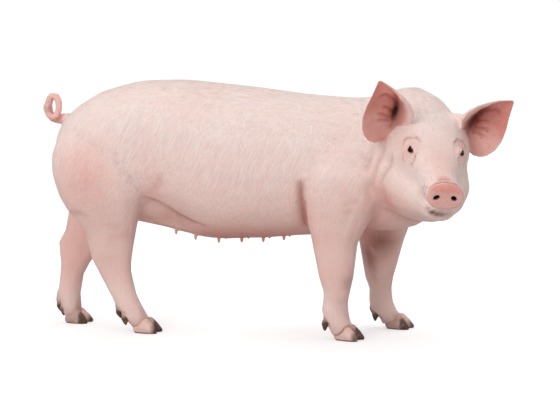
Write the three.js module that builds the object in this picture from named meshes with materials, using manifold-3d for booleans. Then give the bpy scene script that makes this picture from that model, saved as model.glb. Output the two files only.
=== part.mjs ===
// A standing gilt (young sow) of a white, prick-eared breed, at life size, with its head turned to its right.
// Millimetres, +X towards the front of the trunk, +Y towards the pig's left, +Z up, feet on Z = 0.
import * as THREE from "three";
import { LoftGeometry } from "three/addons/geometries/LoftGeometry.js";
import { mergeVertices } from "three/addons/utils/BufferGeometryUtils.js";
import Module from "manifold-3d";

const wasm = await Module();
wasm.setup();

// ---------------------------------------------------------------- driving sizes

const joinGap = 0.5; // between neighbouring pieces of the body
const sinkGap = 0.4; // round a piece that is set into another, such as an eye or a claw

const headPlace = new THREE.Vector3(402, -118, 498); // the joint of neck and skull
const headTurn = 75; // degrees from straight ahead towards the pig's right
const headDip = 17; // degrees of the mouth line below the horizontal
const headTilt = 4; // degrees, left side down
const headBehind = 22; // where the head ends and the neck begins, ahead of that joint
const neckBase = new THREE.Vector3(232, 0, 0); // the neck runs straight to here, then bends
const neckBend = 182; // radius of its middle line
const neckBaseTurn = 10; // degrees round the bend to where the neck leaves the trunk

const eyeRadius = 12.5;
const eyePlace = new THREE.Vector3(124, 59, 45.5); // in the head's own frame, for the left eye
const earRootRadius = 34;
const nostril = { apart: 42, level: -10.5, wide: 8.8, high: 5.4, deep: 24, slant: 30 };
const discBack = 291; // the snout's disc, ahead of the joint of neck and skull
const discFront = 305;

const clawSpread = 16.5; // from the middle of the foot to the middle of a claw
const clawSplay = 6; // degrees
const dewclawSpread = 21;
const clawTurnOut = 6;

const teatRadius = 4.5;
const teatLength = 18;
const teatRows = 47; // from the midline to each row

// ---------------------------------------------------------------- solids from sections

const rad = THREE.MathUtils.degToRad;

/** A closed geometry as a solid that can be joined and cut. */
function solidOf(geometry) {
  const bare = new THREE.BufferGeometry().setIndex(geometry.index);
  bare.setAttribute("position", geometry.getAttribute("position"));
  const merged = mergeVertices(bare, 1e-3);
  const position = merged.getAttribute("position");
  const triVerts = Uint32Array.from(merged.index.array);
  const corner = (i) => new THREE.Vector3().fromBufferAttribute(position, triVerts[i]);
  let volume = 0;
  for (let i = 0; i < triVerts.length; i += 3) {
    volume += corner(i).dot(corner(i + 1).cross(corner(i + 2)));
  }
  if (volume < 0) triVerts.reverse();
  return new wasm.Manifold(new wasm.Mesh({ numProp: 3, vertProperties: position.array, triVerts }));
}

/** A solid as a geometry. */
function geometryOf(solid) {
  const mesh = solid.getMesh();
  const geometry = new THREE.BufferGeometry();
  geometry.setAttribute("position", new THREE.BufferAttribute(mesh.vertProperties, 3));
  geometry.setIndex(new THREE.BufferAttribute(mesh.triVerts, 1));
  geometry.computeVertexNormals();
  return geometry;
}

const joined = (solids) => solids.reduce((whole, solid) => whole.add(solid));

/** Rows of numbers, keyed by their first number, as a smooth function of it. */
function smoothRows(rows) {
  const width = rows[0].length - 1;
  const curve = new THREE.CubicInterpolant(
    rows.map((row) => row[0]),
    rows.flatMap((row) => row.slice(1)),
    width,
    new Float32Array(width)
  );
  return (at) => Array.from(curve.evaluate(at));
}

/** The keys of the rows, with each interval divided evenly into steps. */
function stations(rows, steps) {
  const keys = [];
  for (let i = 0; i < rows.length - 1; i++) {
    for (let k = 0; k < steps; k++) {
      keys.push(THREE.MathUtils.lerp(rows[i][0], rows[i + 1][0], k / steps));
    }
  }
  keys.push(rows.at(-1)[0]);
  return keys;
}

/** A sine or cosine bent towards a superellipse: 2 leaves it round, more makes it boxier. */
const rounded = (c, box) => Math.sign(c) * Math.abs(c) ** (2 / box);

/** A closed solid through rings of points, whichever way round they were made. */
function loft(rings) {
  const area = new THREE.Vector3();
  rings[0].forEach((point, i) => area.add(point.clone().cross(rings[0][(i + 1) % rings[0].length])));
  const ahead = rings[1][0].clone().sub(rings[0][0]);
  const sections = area.dot(ahead) > 0 ? rings : rings.map((ring) => ring.toReversed());
  return solidOf(new LoftGeometry(sections, { capStart: true, capEnd: true }));
}

/**
 * A body lofted through rounded sections, each [place along, high edge, low edge, half width,
 * middle across, boxiness]. place(along, up, across) puts a point of a section in space.
 */
function body(rows, place, { around = 24, steps = 2, grow = 0, floor = -Infinity } = {}) {
  const at = smoothRows(rows);
  const sections = stations(rows, steps).map((along) => {
    const [high, low, wide, middle = 0, box = 2.2] = at(along);
    const level = (high + low) / 2;
    const reach = (high - low) / 2 + grow;
    return Array.from({ length: around }, (_, i) => {
      const turn = (i / around) * Math.PI * 2;
      const up = Math.max(level + reach * rounded(Math.sin(turn), box), floor);
      const across = middle + (wide + grow) * rounded(Math.cos(turn), box);
      return place(along, up, across);
    });
  });
  return loft(sections);
}

const lengthwise = (x, z, y) => new THREE.Vector3(x, y, z);
const upright = (z, x, y) => new THREE.Vector3(x, y, z);

// ---------------------------------------------------------------- trunk

// Along the pig: topline, underline, half width, middle, boxiness.
const trunkRows = [
  [-618, 513, 438, 34, 0, 2], // rump
  [-607, 554, 400, 74, 0, 2],
  [-580, 590, 363, 112, 0, 2.1],
  [-547, 616, 340, 132, 0, 2.2], // hips
  [-489, 650, 330, 147, 0, 2.3],
  [-431, 667, 333, 153, 0, 2.4],
  [-374, 680, 347, 156, 0, 2.6], // loin, over the flank fold
  [-262, 683, 307, 160, 0, 2.6],
  [-151, 673, 251, 165, 0, 2.3],
  [-41, 661, 253, 163, 0, 2.2],
  [68, 646, 263, 154, 0, 2.2], // girth
  [177, 637, 267, 138, 0, 2.1],
  [230, 635, 285, 126, 0, 2.1],
  [280, 625, 320, 104, 0, 2],
  [308, 595, 365, 70, 0, 2],
];

// The milk line: the belly hangs between the flank folds.
const udderRows = [
  [-455, 415, 313, 50, 0, 2],
  [-420, 425, 296, 72, 0, 2],
  [-374, 425, 289, 82, 0, 2],
  [-318, 425, 278, 92, 0, 2],
  [-262, 425, 264, 104, 0, 2],
  [-206, 425, 251, 112, 0, 2],
  [-150, 425, 247, 108, 0, 2],
  [-90, 425, 251, 90, 0, 2],
];

const teatPlaces = [-277, -223, -159, -96, -37, 19];

function trunk(grow = 0) {
  const barrel = body(trunkRows, lengthwise, { around: 22, steps: 1, grow });
  const udder = body(udderRows, lengthwise, { around: 12, steps: 1, grow });
  return barrel.add(udder);
}

/** A teat hanging from its root, its tip at the origin. */
function teat() {
  const profile = [
    new THREE.Vector2(0, teatLength),
    new THREE.Vector2(teatRadius * 1.4, teatLength),
    new THREE.Vector2(teatRadius * 0.8, 0),
    new THREE.Vector2(0, 0),
  ];
  return new THREE.LatheGeometry(profile, 5).rotateX(Math.PI / 2);
}

/** Both rows of teats, each let down until it hangs clear of the belly. */
function teats(belly) {
  return teatPlaces.flatMap((x) =>
    [-1, 1].map((side) => {
      const y = side * teatRows;
      const probe = solidOf(new THREE.BoxGeometry(2, 2, 400).translate(x, y, 200));
      const skin = probe.intersect(belly).boundingBox().min[2];
      return solidOf(teat().translate(x, y, skin - teatLength * 0.8));
    })
  );
}

// ---------------------------------------------------------------- legs

// Up each leg: front edge, back edge, half width, middle (outwards from the midline).
const foreRightRows = [
  [12, 212, 158, 27, 110],
  [28, 220, 150, 33, 110],
  [50, 208, 141, 35, 110],
  [77, 203, 129, 32, 110], // fetlock
  [100, 202, 133, 27, 109],
  [125, 207, 134, 28, 108],
  [165, 216, 121, 36, 106], // knee
  [256, 227, 102, 46, 103],
  [360, 285, 82, 57, 107], // elbow and point of the shoulder
  [430, 300, 74, 58, 107],
  [500, 272, 88, 46, 96],
  [545, 222, 122, 26, 78], // shoulder blade
];

const foreLeftRows = [
  [12, 322, 266, 27, 110],
  [28, 330, 258, 33, 110],
  [50, 307, 232, 35, 110],
  [75, 296, 228, 32, 110],
  [108, 293, 229, 27, 109],
  [140, 297, 217, 31, 108],
  [242, 326, 200, 45, 103],
  [300, 347, 160, 52, 104],
  [360, 358, 125, 57, 105],
  [430, 349, 105, 57, 104],
  [500, 298, 110, 46, 95],
  [545, 240, 138, 26, 78],
];

const hindRightRows = [
  [14, -346, -392, 27, 79],
  [28, -338, -402, 33, 79],
  [50, -352, -418, 34, 79],
  [76, -366, -440, 31, 78], // fetlock
  [105, -379, -455, 27, 78],
  [165, -393, -488, 30, 78],
  [200, -391, -507, 33, 78],
  [275, -377, -522, 48, 83],
  [333, -362, -571, 67, 88], // second thigh
  [372, -348, -592, 76, 91],
  [425, -346, -609, 81, 91], // stifle and ham
  [480, -362, -612, 76, 87],
  [528, -392, -594, 60, 80],
  [562, -430, -556, 36, 68], // hip
];

const hindLeftRows = [
  [14, -580, -618, 27, 60],
  [28, -575, -630, 33, 60],
  [52, -576, -632, 34, 60],
  [82, -577, -644, 31, 60], // fetlock
  [136, -568, -637, 28, 62],
  [170, -549, -637, 31, 66], // hock
  [225, -509, -645, 39, 76],
  [258, -480, -628, 49, 83],
  [330, -415, -616, 70, 90],
  [372, -385, -624, 77, 91],
  [425, -370, -627, 80, 91],
  [480, -375, -619, 75, 87],
  [528, -395, -596, 60, 80],
  [562, -430, -558, 36, 68],
];

// For each leg: which side, where its hoof stands, how far that is turned out, in degrees, and
// the tips of the dewclaws, [forward, up], with their lean.
const legs = {
  foreleg_right: {
    rows: foreRightRows, side: -1, hoof: 203, turn: 19,
    outer: [142, 25], inner: [150, 31], lean: 0,
  },
  foreleg_left: {
    rows: foreLeftRows, side: 1, hoof: 313, turn: -15,
    outer: [238, 34], inner: [249, 21], lean: 4,
  },
  hindleg_right: {
    rows: hindRightRows, side: -1, hoof: -350, turn: 9,
    outer: [-404, 21], inner: [-428, 33], lean: 16,
  },
  hindleg_left: {
    rows: hindLeftRows, side: 1, hoof: -584, turn: -8,
    outer: [-641, 26], inner: [-621, 21], lean: 10,
  },
};

/** One leg from the hoofs to where its muscles lie in the trunk. */
function leg({ rows, side }, grow = 0) {
  const place = (z, x, out) => new THREE.Vector3(x, side * out, z);
  return body(rows, place, { around: 12, steps: 1, grow });
}

// Along a claw from heel to toe: top, bottom, half width, middle, boxiness. Its sole is cut at Z = 0.
const clawRows = [
  [-33, 18, 3, 8, 0, 2],
  [-25, 30, -7, 13, 0, 2.1],
  [-10, 41, -9, 15.5, 0, 2.3],
  [7, 39, -9, 15.5, 0, 2.4],
  [22, 24, -8, 12.5, 0, 2.4],
  [35, 8, 1, 4, 0, 2],
];

// Up a dewclaw from its tip, and up the little toe that carries it, measured likewise.
const dewclawRows = [
  [0, 2, -2, 2, 0, 2],
  [7, 6, -6, 6, 0, 2],
  [19, 10, -10, 10, 0, 2],
  [34, 6, -6, 6, 0, 2],
];
const littleToeRows = [
  [15, 7, -8, 8, 0, 2],
  [25, 12, -11, 11, 0, 2],
  [44, 14, -7, 12, 0, 2],
  [66, 14, 1, 7, 0, 2],
];

const toes = [["outer", 1], ["inner", -1]];

/** The middle of a foot, across. */
const footLine = ({ rows, side }) => side * smoothRows(rows)(28)[3];

/** Moves a body made upright at the origin to one of a foot's little toes. */
function toLittleToe(solid, leg, label, out) {
  const across = leg.side * out;
  const [x, z] = leg[label];
  return solid
    .rotate([across * 14, -leg.lean, across * clawTurnOut])
    .translate([x, footLine(leg) + across * dewclawSpread, z]);
}

/** The two claws and two dewclaws of one foot, by name. */
function clawsOf(name, leg, grow = 0) {
  const { side, hoof, turn } = leg;
  const made = {};
  for (const [label, out] of toes) {
    const across = side * out;
    made[`claw_${name}_${label}`] = body(clawRows, lengthwise, { around: 8, steps: 1, grow, floor: -grow })
      .rotate([0, 0, across * clawSplay])
      .translate([0, across * clawSpread, 0])
      .rotate([0, 0, side * turn])
      .translate([hoof, footLine(leg), 0]);
    const dewclaw = body(dewclawRows, upright, { around: 6, steps: 1, grow });
    made[`dewclaw_${name}_${label}`] = toLittleToe(dewclaw, leg, label, out);
  }
  return made;
}

/** The flesh of both little toes of a foot. */
function littleToes(leg) {
  const toe = () => body(littleToeRows, upright, { around: 6, steps: 1 });
  return toes.map(([label, out]) => toLittleToe(toe(), leg, label, out));
}

/** A wedge that parts the flesh between the two claws of a foot. */
function cleft(leg) {
  const wedge = new THREE.Shape([
    new THREE.Vector2(-2, -1),
    new THREE.Vector2(2, -1),
    new THREE.Vector2(0, 46),
  ]);
  const geometry = new THREE.ExtrudeGeometry(wedge, { depth: 120, bevelEnabled: false });
  geometry.rotateX(Math.PI / 2).rotateZ(Math.PI / 2);
  geometry.translate(-22, 0, 0);
  geometry.rotateZ(rad(leg.side * leg.turn));
  geometry.translate(leg.hoof, footLine(leg), 0);
  return solidOf(geometry);
}

/** The room a leg is taken from: round-topped, and open to the outside and the floor. */
function legRoom({ side }, { middle, half, spring, inner }, grow = 0) {
  const arch = new THREE.Shape();
  arch.moveTo(middle - half - grow, -20);
  arch.lineTo(middle - half - grow, spring);
  arch.absarc(middle, spring, half + grow, Math.PI, 0, true);
  arch.lineTo(middle + half + grow, -20);
  const depth = 300;
  const geometry = new THREE.ExtrudeGeometry(arch, { depth, bevelEnabled: false, curveSegments: 8 });
  geometry.rotateX(Math.PI / 2); // now from Y = 0 to Y = -depth
  geometry.translate(0, -inner + grow, 0);
  if (side > 0) geometry.scale(1, -1, 1);
  return solidOf(geometry);
}

const legRooms = {
  foreleg_right: { middle: 178, half: 118, spring: 400, inner: 56 },
  foreleg_left: { middle: 232, half: 129, spring: 402, inner: 56 },
  hindleg_right: { middle: -474, half: 142, spring: 380, inner: 36 },
  hindleg_left: { middle: -520, half: 145, spring: 380, inner: 22 },
};

// ---------------------------------------------------------------- tail

const tailRoot = new THREE.Vector3(-588, 0, 572);
const tailCoil = { lead: 38, wide: 18, high: 33, turns: 1.3, pitch: 34, close: 0.16 };
const tailRadius = { root: 20, base: 11, tip: 6.5 };

/** The tail leaves the rump, rises and rolls over into a loose curl, held to its right. */
class TailCurve extends THREE.Curve {
  getPoint(t, target = new THREE.Vector3()) {
    const { lead, wide, high, turns, pitch, close } = tailCoil;
    const s = Math.max(0, (t - 0.16) / 0.84);
    if (s === 0) return target.copy(tailRoot).add(new THREE.Vector3((-lead * t) / 0.16, 0, 0));
    const angle = -Math.PI * (0.5 + 2 * s * turns);
    const shrink = 1 - close * s;
    return target.set(
      tailRoot.x - lead + wide * shrink * Math.cos(angle),
      -pitch * s,
      tailRoot.z + high * (1 + shrink * Math.sin(angle))
    );
  }
}

function tail() {
  const curve = new TailCurve();
  const steps = 21;
  const { normals, binormals } = curve.computeFrenetFrames(steps, false);
  const sections = normals.map((normal, i) => {
    const t = i / steps;
    const flare = (tailRadius.root - tailRadius.base) * Math.exp(-t * 16);
    const radius = THREE.MathUtils.lerp(tailRadius.base, tailRadius.tip, t) + flare;
    const centre = curve.getPointAt(t);
    return Array.from({ length: 6 }, (_, k) => {
      const turn = (k / 6) * Math.PI * 2;
      return centre
        .clone()
        .addScaledVector(normal, radius * Math.cos(turn))
        .addScaledVector(binormals[i], radius * Math.sin(turn));
    });
  });
  return loft(sections);
}

// ---------------------------------------------------------------- neck and head

const headFrame = new THREE.Matrix4().compose(
  headPlace,
  new THREE.Quaternion().setFromEuler(new THREE.Euler(-rad(headTilt), rad(headDip), -rad(headTurn), "ZYX")),
  new THREE.Vector3(1, 1, 1)
);
const inHead = (x, z, y) => new THREE.Vector3(x, y, z).applyMatrix4(headFrame);

// Along the skull and the nose from behind the poll: top, bottom, half width, middle, boxiness.
const skullRows = [
  [-46, 84, -60, 88, 0, 2],
  [-20, 100, -76, 104, 0, 2.1],
  [10, 112, -80, 110, 0, 2.1],
  [45, 114, -80, 106, 0, 2.1], // poll
  [80, 104, -78, 95, 0, 2.2],
  [112, 86, -74, 82, 0, 2.3], // eyes
  [145, 62, -66, 66, 0, 2.3],
  [180, 43, -58, 53, 0, 2.3], // dished face
  [215, 33, -52, 46, 0, 2.3],
  [245, 29, -48, 44, 0, 2.3],
  [276, 28, -45, 43, 0, 2.2],
  [291, 26, -43, 42, 0, 2.2],
];

// Along the cheeks and the lower jaw to the chin, which is set back under the snout.
const jawRows = [
  [-46, 20, -140, 84, 0, 2],
  [-10, 30, -164, 106, 0, 2.1],
  [40, 30, -174, 112, 0, 2.1],
  [80, 20, -166, 106, 0, 2.1],
  [115, 6, -152, 97, 0, 2.1],
  [150, -4, -136, 85, 0, 2.1],
  [185, -12, -117, 71, 0, 2.1],
  [218, -18, -104, 58, 0, 2.1],
  [245, -26, -93, 46, 0, 2.1],
  [263, -34, -86, 38, 0, 2.1],
  [275, -46, -76, 27, 0, 2],
];

const discRows = [
  [284, 20, -34, 36, 0, 2.1],
  [289, 24, -41, 44, 0, 2.1],
  [296, 27, -44, 47, 0, 2.2],
  [302, 25, -42, 45.5, 0, 2.2],
  [305, 19, -36, 39, 0, 2.2],
];

// Round the neck's bend, in degrees: top, bottom, half width. Below zero the neck runs straight.
const neckRows = [
  [-24, 620, 318, 104, 0, 2],
  [-8, 634, 288, 124, 0, 2.1],
  [10, 643, 278, 132, 0, 2.1],
  [28, 656, 280, 130, -4, 2.1],
  [46, 668, 294, 122, -6, 2.1],
  [62, 652, 326, 115, -2, 2],
  [76, 617, 348, 106, 0, 2],
  [90, 562, 382, 84, 0, 2],
];

/** A point of the neck, by its turn round the bend and its place in that section. */
function inNeck(turn, z, across) {
  const angle = rad(Math.max(0, turn));
  const straight = rad(Math.min(0, turn)) * neckBend;
  const reach = neckBend + across;
  return new THREE.Vector3(
    neckBase.x + straight + reach * Math.sin(angle),
    neckBase.y - neckBend + reach * Math.cos(angle),
    z
  );
}

function neck(grow = 0) {
  return body(neckRows, inNeck, { around: 18, steps: 1, grow });
}

// The jowl on the inside of the neck's bend: top, bottom, half width, middle.
const jowlRows = [
  [-72, -30, -120, 30, -88, 2],
  [-42, 0, -150, 52, -88, 2],
  [-6, 10, -165, 62, -84, 2],
  [30, -4, -160, 54, -76, 2],
  [62, -30, -142, 36, -66, 2],
  [84, -60, -116, 14, -60, 2],
];

/** The swelling of the skull that carries an ear. */
function earRoot(side, grow) {
  const geometry = new THREE.SphereGeometry(earRootRadius + grow, 7, 5);
  geometry.translate(-2, side * 74, 80);
  geometry.applyMatrix4(headFrame);
  return solidOf(geometry);
}

function head(grow = 0) {
  const skull = body(skullRows, inHead, { around: 18, steps: 1, grow });
  const jaw = body(jawRows, inHead, { around: 14, steps: 1, grow });
  const jowl = body(jowlRows, inHead, { around: 10, steps: 1, grow });
  return joined([skull, jaw, jowl, ...[-1, 1].map((side) => earRoot(side, grow))]);
}

/** A nostril as a plug to cut out of the snout. */
function nostrilPlug(side) {
  const geometry = new THREE.CylinderGeometry(1, 0.8, nostril.deep, 8);
  geometry.rotateZ(-Math.PI / 2);
  geometry.scale(1, nostril.wide, nostril.high);
  geometry.rotateX(rad(-side * nostril.slant));
  geometry.rotateZ(rad(side * 10));
  geometry.translate(discFront - nostril.deep / 2 + 4, (side * nostril.apart) / 2, nostril.level);
  geometry.applyMatrix4(headFrame);
  return solidOf(geometry);
}

function eyeball(side, grow = 0) {
  const geometry = new THREE.SphereGeometry(eyeRadius + grow, 9, 6);
  geometry.translate(eyePlace.x, side * eyePlace.y, eyePlace.z);
  geometry.applyMatrix4(headFrame);
  return solidOf(geometry);
}

// ---------------------------------------------------------------- ears

// Up an ear from the bottom of its outer lobe, measured from the ear hole:
// outer edge, inner edge, how far the edges stand forward of the hollow, fleshiness of its back.
const earRows = [
  [-48, 48, 22, 6, 4],
  [-40, 60, 2, 18, 12],
  [-22, 68, -30, 28, 26],
  [0, 70, -62, 36, 34],
  [26, 67, -74, 36, 24],
  [53, 56, -73, 30, 10],
  [78, 36, -63, 22, 3],
  [100, 13, -49, 13, 0],
  [118, -4, -34, 7, 0],
  [130, -15, -22, 3, 0],
];
const earThick = 6;
const earAcross = 8;

/** A cupped leaf, hollow towards its front, on a fleshy root. */
function ear(side, { root, out, lean, face, lobe }) {
  const at = smoothRows(earRows);
  const frame = headFrame
    .clone()
    .multiply(new THREE.Matrix4().makeTranslation(root.x, side * root.y, root.z))
    .multiply(new THREE.Matrix4().makeRotationX(rad(-side * out)))
    .multiply(new THREE.Matrix4().makeRotationY(rad(lean)))
    .multiply(new THREE.Matrix4().makeRotationZ(rad(side * face)));
  const steps = Array.from({ length: earAcross + 1 }, (_, i) => (2 * i) / earAcross - 1);
  const rings = stations(earRows, 1).map((along) => {
    const [outer, inner, cup, flesh] = at(along);
    const half = (outer - inner) / 2;
    const wall = (across, off) => {
      const slope = (2 * cup * across) / half;
      const reach = off / Math.hypot(1, slope);
      const aside = (outer + inner) / 2 + half * across - slope * reach;
      const level = along < 0 ? along * lobe : along;
      return new THREE.Vector3(cup * across ** 2 + reach, side * aside, level).applyMatrix4(frame);
    };
    const thin = (across) => earThick * (0.5 - 0.22 * across ** 8);
    const thick = (across) => thin(across) + flesh * (1 - across ** 2);
    return [
      ...steps.map((across) => wall(across, thin(across))),
      ...steps.toReversed().map((across) => wall(across, -thick(across))),
    ];
  });
  return loft(rings);
}

const earRight = { root: new THREE.Vector3(25, 109, 89), out: 30, lean: 18, face: 14, lobe: 1.2 };
const earLeft = { root: new THREE.Vector3(25, 108, 76), out: 52, lean: 12, face: 8, lobe: 0.85 };

// ---------------------------------------------------------------- parting the body

/** The part of a solid that lies ahead of a plane. */
const beyond = (solid, normal, through) => solid.trimByPlane(normal.toArray(), normal.dot(through));

/** Both sides of a plane, with the join gap between them: [ahead, behind]. */
function parted(solid, normal, through) {
  const back = normal.clone().negate();
  const lead = through.clone().addScaledVector(normal, joinGap / 2);
  const rear = through.clone().addScaledVector(normal, -joinGap / 2);
  return [beyond(solid, normal, lead), beyond(solid, back, rear)];
}

const headWay = new THREE.Vector3(1, 0, 0).transformDirection(headFrame);
const neckWay = new THREE.Vector3(1, 0, 0).applyAxisAngle(new THREE.Vector3(0, 0, 1), -rad(neckBaseTurn));

const solids = {};
const claws = {};
const clawBeds = [];
for (const [name, spec] of Object.entries(legs)) {
  Object.assign(claws, clawsOf(name, spec));
  clawBeds.push(...Object.values(clawsOf(name, spec, sinkGap)));
}

// The flesh is one solid first, so every piece that is cut from it fits the next.
const torso = trunk();
const limbs = Object.values(legs).flatMap((spec) => [leg(spec), ...littleToes(spec)]);
let flesh = joined([torso, neck(), head(), ...limbs, ...teats(torso)]).subtract(joined(clawBeds));
for (const [name, spec] of Object.entries(legs)) {
  solids[name] = flesh.intersect(legRoom(spec, legRooms[name])).subtract(cleft(spec));
  flesh = flesh.subtract(legRoom(spec, legRooms[name], joinGap));
}
const [neckSolid, trunkSolid] = parted(flesh, neckWay, inNeck(neckBaseTurn, 450, 0));
solids.trunk = trunkSolid;

const [headSolid, neckSide] = parted(neckSolid, headWay, inHead(headBehind, 0, 0));
solids.neck = neckSide;

const snoutBack = inHead(discBack, 0, 0);
const nostrils = joined([-1, 1].map(nostrilPlug));
const sockets = joined([-1, 1].map((side) => eyeball(side, sinkGap)));
const [disc] = parted(body(discRows, inHead, { around: 14, steps: 1 }), headWay, snoutBack);
const [, muzzle] = parted(headSolid, headWay, snoutBack);
solids.snout_disc = disc.subtract(nostrils);
solids.head = muzzle.subtract(nostrils).subtract(sockets);

for (const [name, side, spec] of [["right", -1, earRight], ["left", 1, earLeft]]) {
  solids[`ear_${name}`] = ear(side, spec).subtract(head(sinkGap)).subtract(neck(sinkGap));
  solids[`eye_${name}`] = eyeball(side);
}

solids.tail = tail().subtract(trunk(joinGap));
Object.assign(solids, claws);

// ---------------------------------------------------------------- scene

const skin = new THREE.MeshStandardMaterial({ color: 0xe9c4ba, roughness: 0.62, metalness: 0 });
const redSkin = new THREE.MeshStandardMaterial({ color: 0xd99a92, roughness: 0.55, metalness: 0 });
const horn = new THREE.MeshStandardMaterial({ color: 0x7d5a4a, roughness: 0.5, metalness: 0 });
const wetEye = new THREE.MeshStandardMaterial({ color: 0x2a1712, roughness: 0.1, metalness: 0 });

function materialOf(name) {
  if (name.startsWith("eye")) return wetEye;
  if (name.includes("claw")) return horn;
  return name.startsWith("ear") || name === "snout_disc" ? redSkin : skin;
}

const pig = new THREE.Group();
for (const [name, solid] of Object.entries(solids)) {
  const mesh = new THREE.Mesh(geometryOf(solid), materialOf(name));
  mesh.name = name;
  pig.add(mesh);
}

// The origin is on the floor under the middle of the whole animal's box.
const box = new THREE.Box3().setFromObject(pig);
const middle = box.getCenter(new THREE.Vector3());
pig.position.set(-middle.x, -middle.y, -box.min.z);

export default pig;
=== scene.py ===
import math
import time

import bmesh
import bpy
import numpy as np
from mathutils import Matrix, Vector
from mathutils.bvhtree import BVHTree


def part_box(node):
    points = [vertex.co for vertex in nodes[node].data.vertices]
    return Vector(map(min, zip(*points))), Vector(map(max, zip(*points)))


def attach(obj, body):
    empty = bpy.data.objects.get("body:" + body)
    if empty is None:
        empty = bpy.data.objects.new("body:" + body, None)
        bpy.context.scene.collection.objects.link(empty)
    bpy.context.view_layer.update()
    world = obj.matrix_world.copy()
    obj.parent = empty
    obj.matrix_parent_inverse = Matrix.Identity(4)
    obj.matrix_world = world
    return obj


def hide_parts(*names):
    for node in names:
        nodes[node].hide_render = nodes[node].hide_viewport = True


startTime = time.time()
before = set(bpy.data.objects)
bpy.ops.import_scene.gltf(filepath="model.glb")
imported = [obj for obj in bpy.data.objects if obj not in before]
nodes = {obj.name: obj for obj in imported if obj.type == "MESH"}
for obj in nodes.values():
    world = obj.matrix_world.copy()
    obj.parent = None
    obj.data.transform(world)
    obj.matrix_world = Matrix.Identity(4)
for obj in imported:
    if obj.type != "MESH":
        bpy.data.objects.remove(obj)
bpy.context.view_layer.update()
nodeNames = sorted(nodes)
scene = bpy.context.scene


def report(stage):
    print(f"{stage} at {time.time() - startTime:.1f} s", flush=True)


# ---- where things are on the pig, in metres, feet on z = 0

headJoint = {"place": (0.402, -0.118, 0.498), "turn": 75, "dip": 17, "tilt": 4}
eyeSpot = {"forward": 0.124, "aside": 0.059, "up": 0.0455, "radius": 0.0125}


def turned(degrees, axis):
    return Matrix.Rotation(math.radians(degrees), 4, axis)


headTurned = turned(-headJoint["turn"], "Z") @ turned(headJoint["dip"], "Y")
headTurned = headTurned @ turned(-headJoint["tilt"], "X")


def middleOf(node):
    low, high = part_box(node)
    return (low + high) / 2


# the pig's own origin lies under its withers, and the part's under the middle of its box
eyeInHead = Vector((eyeSpot["forward"], eyeSpot["aside"], eyeSpot["up"]))
pigOrigin = middleOf("eye_left") - (Vector(headJoint["place"]) + headTurned @ eyeInHead)
pigOrigin.z = 0
headFrame = Matrix.Translation(pigOrigin + Vector(headJoint["place"])) @ headTurned

# each ear's own frame: forward out of its hollow, left, and up to its tip
earJoints = {
    # the last number of each is how dark its ear hole is painted, as shade
    -1: {"root": (0.025, 0.109, 0.089), "out": 30, "lean": 18, "face": 14, "lobe": 1.2, "openingShade": 1.0},
    1: {"root": (0.025, 0.108, 0.076), "out": 52, "lean": 12, "face": 8, "lobe": 0.85, "openingShade": 0.5},
}


def earFrame(side):
    joint = earJoints[side]
    forward, aside, up = joint["root"]
    at = Matrix.Translation((forward, side * aside, up))
    out, face = turned(-side * joint["out"], "X"), turned(side * joint["face"], "Z")
    return headFrame @ at @ out @ turned(joint["lean"], "Y") @ face


fleshNodes = [n for n in nodeNames if "claw" not in n and not n.startswith("eye")]
clawNodes = [n for n in nodeNames if "claw" in n]
eyeNodes = [n for n in nodeNames if n.startswith("eye")]


# ---- material helpers


def newMaterial(name):
    material = bpy.data.materials.new(name)
    material.use_nodes = True
    return material, material.node_tree, material.node_tree.nodes["Principled BSDF"]


def give(tree, node, values):
    # sets a node's inputs: a socket is linked, and anything else is its value
    for name, value in values.items():
        if isinstance(value, bpy.types.NodeSocket):
            tree.links.new(value, node.inputs[name])
        else:
            node.inputs[name].default_value = value


def addNode(tree, kind, inputs=None, **settings):
    made = tree.nodes.new(kind)
    for name, value in settings.items():
        setattr(made, name, value)
    give(tree, made, inputs or {})
    return made


def maths(tree, operation, a, b=0.0, c=0.0, clamp=False):
    made = addNode(tree, "ShaderNodeMath", {0: a, 1: b, 2: c}, operation=operation, use_clamp=clamp)
    return made.outputs[0]


def times(tree, a, b, clamp=False):
    return maths(tree, "MULTIPLY", a, b, clamp=clamp)


def scaled(tree, value, gain, offset, clamp=False):
    return maths(tree, "MULTIPLY_ADD", value, gain, offset, clamp)


def vectorMaths(tree, operation, a, b=(0, 0, 0)):
    made = addNode(tree, "ShaderNodeVectorMath", {0: a, 1: b}, operation=operation)
    return made.outputs["Value" if operation == "LENGTH" else "Vector"]


def mixed(tree, amount, a, b, blend="MIX"):
    made = addNode(tree, "ShaderNodeMix", {}, data_type="RGBA", blend_type=blend)
    give(tree, made, {0: amount, 6: a, 7: b})
    return made.outputs[2]


def maskOf(tree, name):
    return addNode(tree, "ShaderNodeAttribute", attribute_name=name).outputs["Fac"]


def objectPlace(tree):
    return addNode(tree, "ShaderNodeTexCoord").outputs["Object"]


def noiseOf(tree, vector, scale, detail=2.0, rough=0.5):
    inputs = {"Vector": vector, "Scale": scale, "Detail": detail, "Roughness": rough}
    return addNode(tree, "ShaderNodeTexNoise", inputs).outputs["Fac"]


def colour(red, green, blue):
    return (red, green, blue, 1.0)


# ---- mesh helpers


def listed(items, name, width, kind=np.float32):
    # what every item of a mesh says, as rows
    values = np.empty(len(items) * width, kind)
    items.foreach_get(name, values)
    return values.reshape(-1, width)


def meshPoints(mesh):
    return listed(mesh.vertices, "co", 3).astype(np.float64)


def meshNormals(mesh):
    return listed(mesh.vertices, "normal", 3).astype(np.float64)


def trianglesOf(mesh):
    return listed(mesh.polygons, "vertices", 3, np.int32)


def setPoints(mesh, points):
    mesh.vertices.foreach_set("co", points.astype(np.float32).ravel())
    mesh.update()


def shadeSmooth(mesh):
    mesh.polygons.foreach_set("use_smooth", [True] * len(mesh.polygons))


def addObject(name, mesh):
    piece = bpy.data.objects.new(name, mesh)
    scene.collection.objects.link(piece)
    return piece


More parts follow.
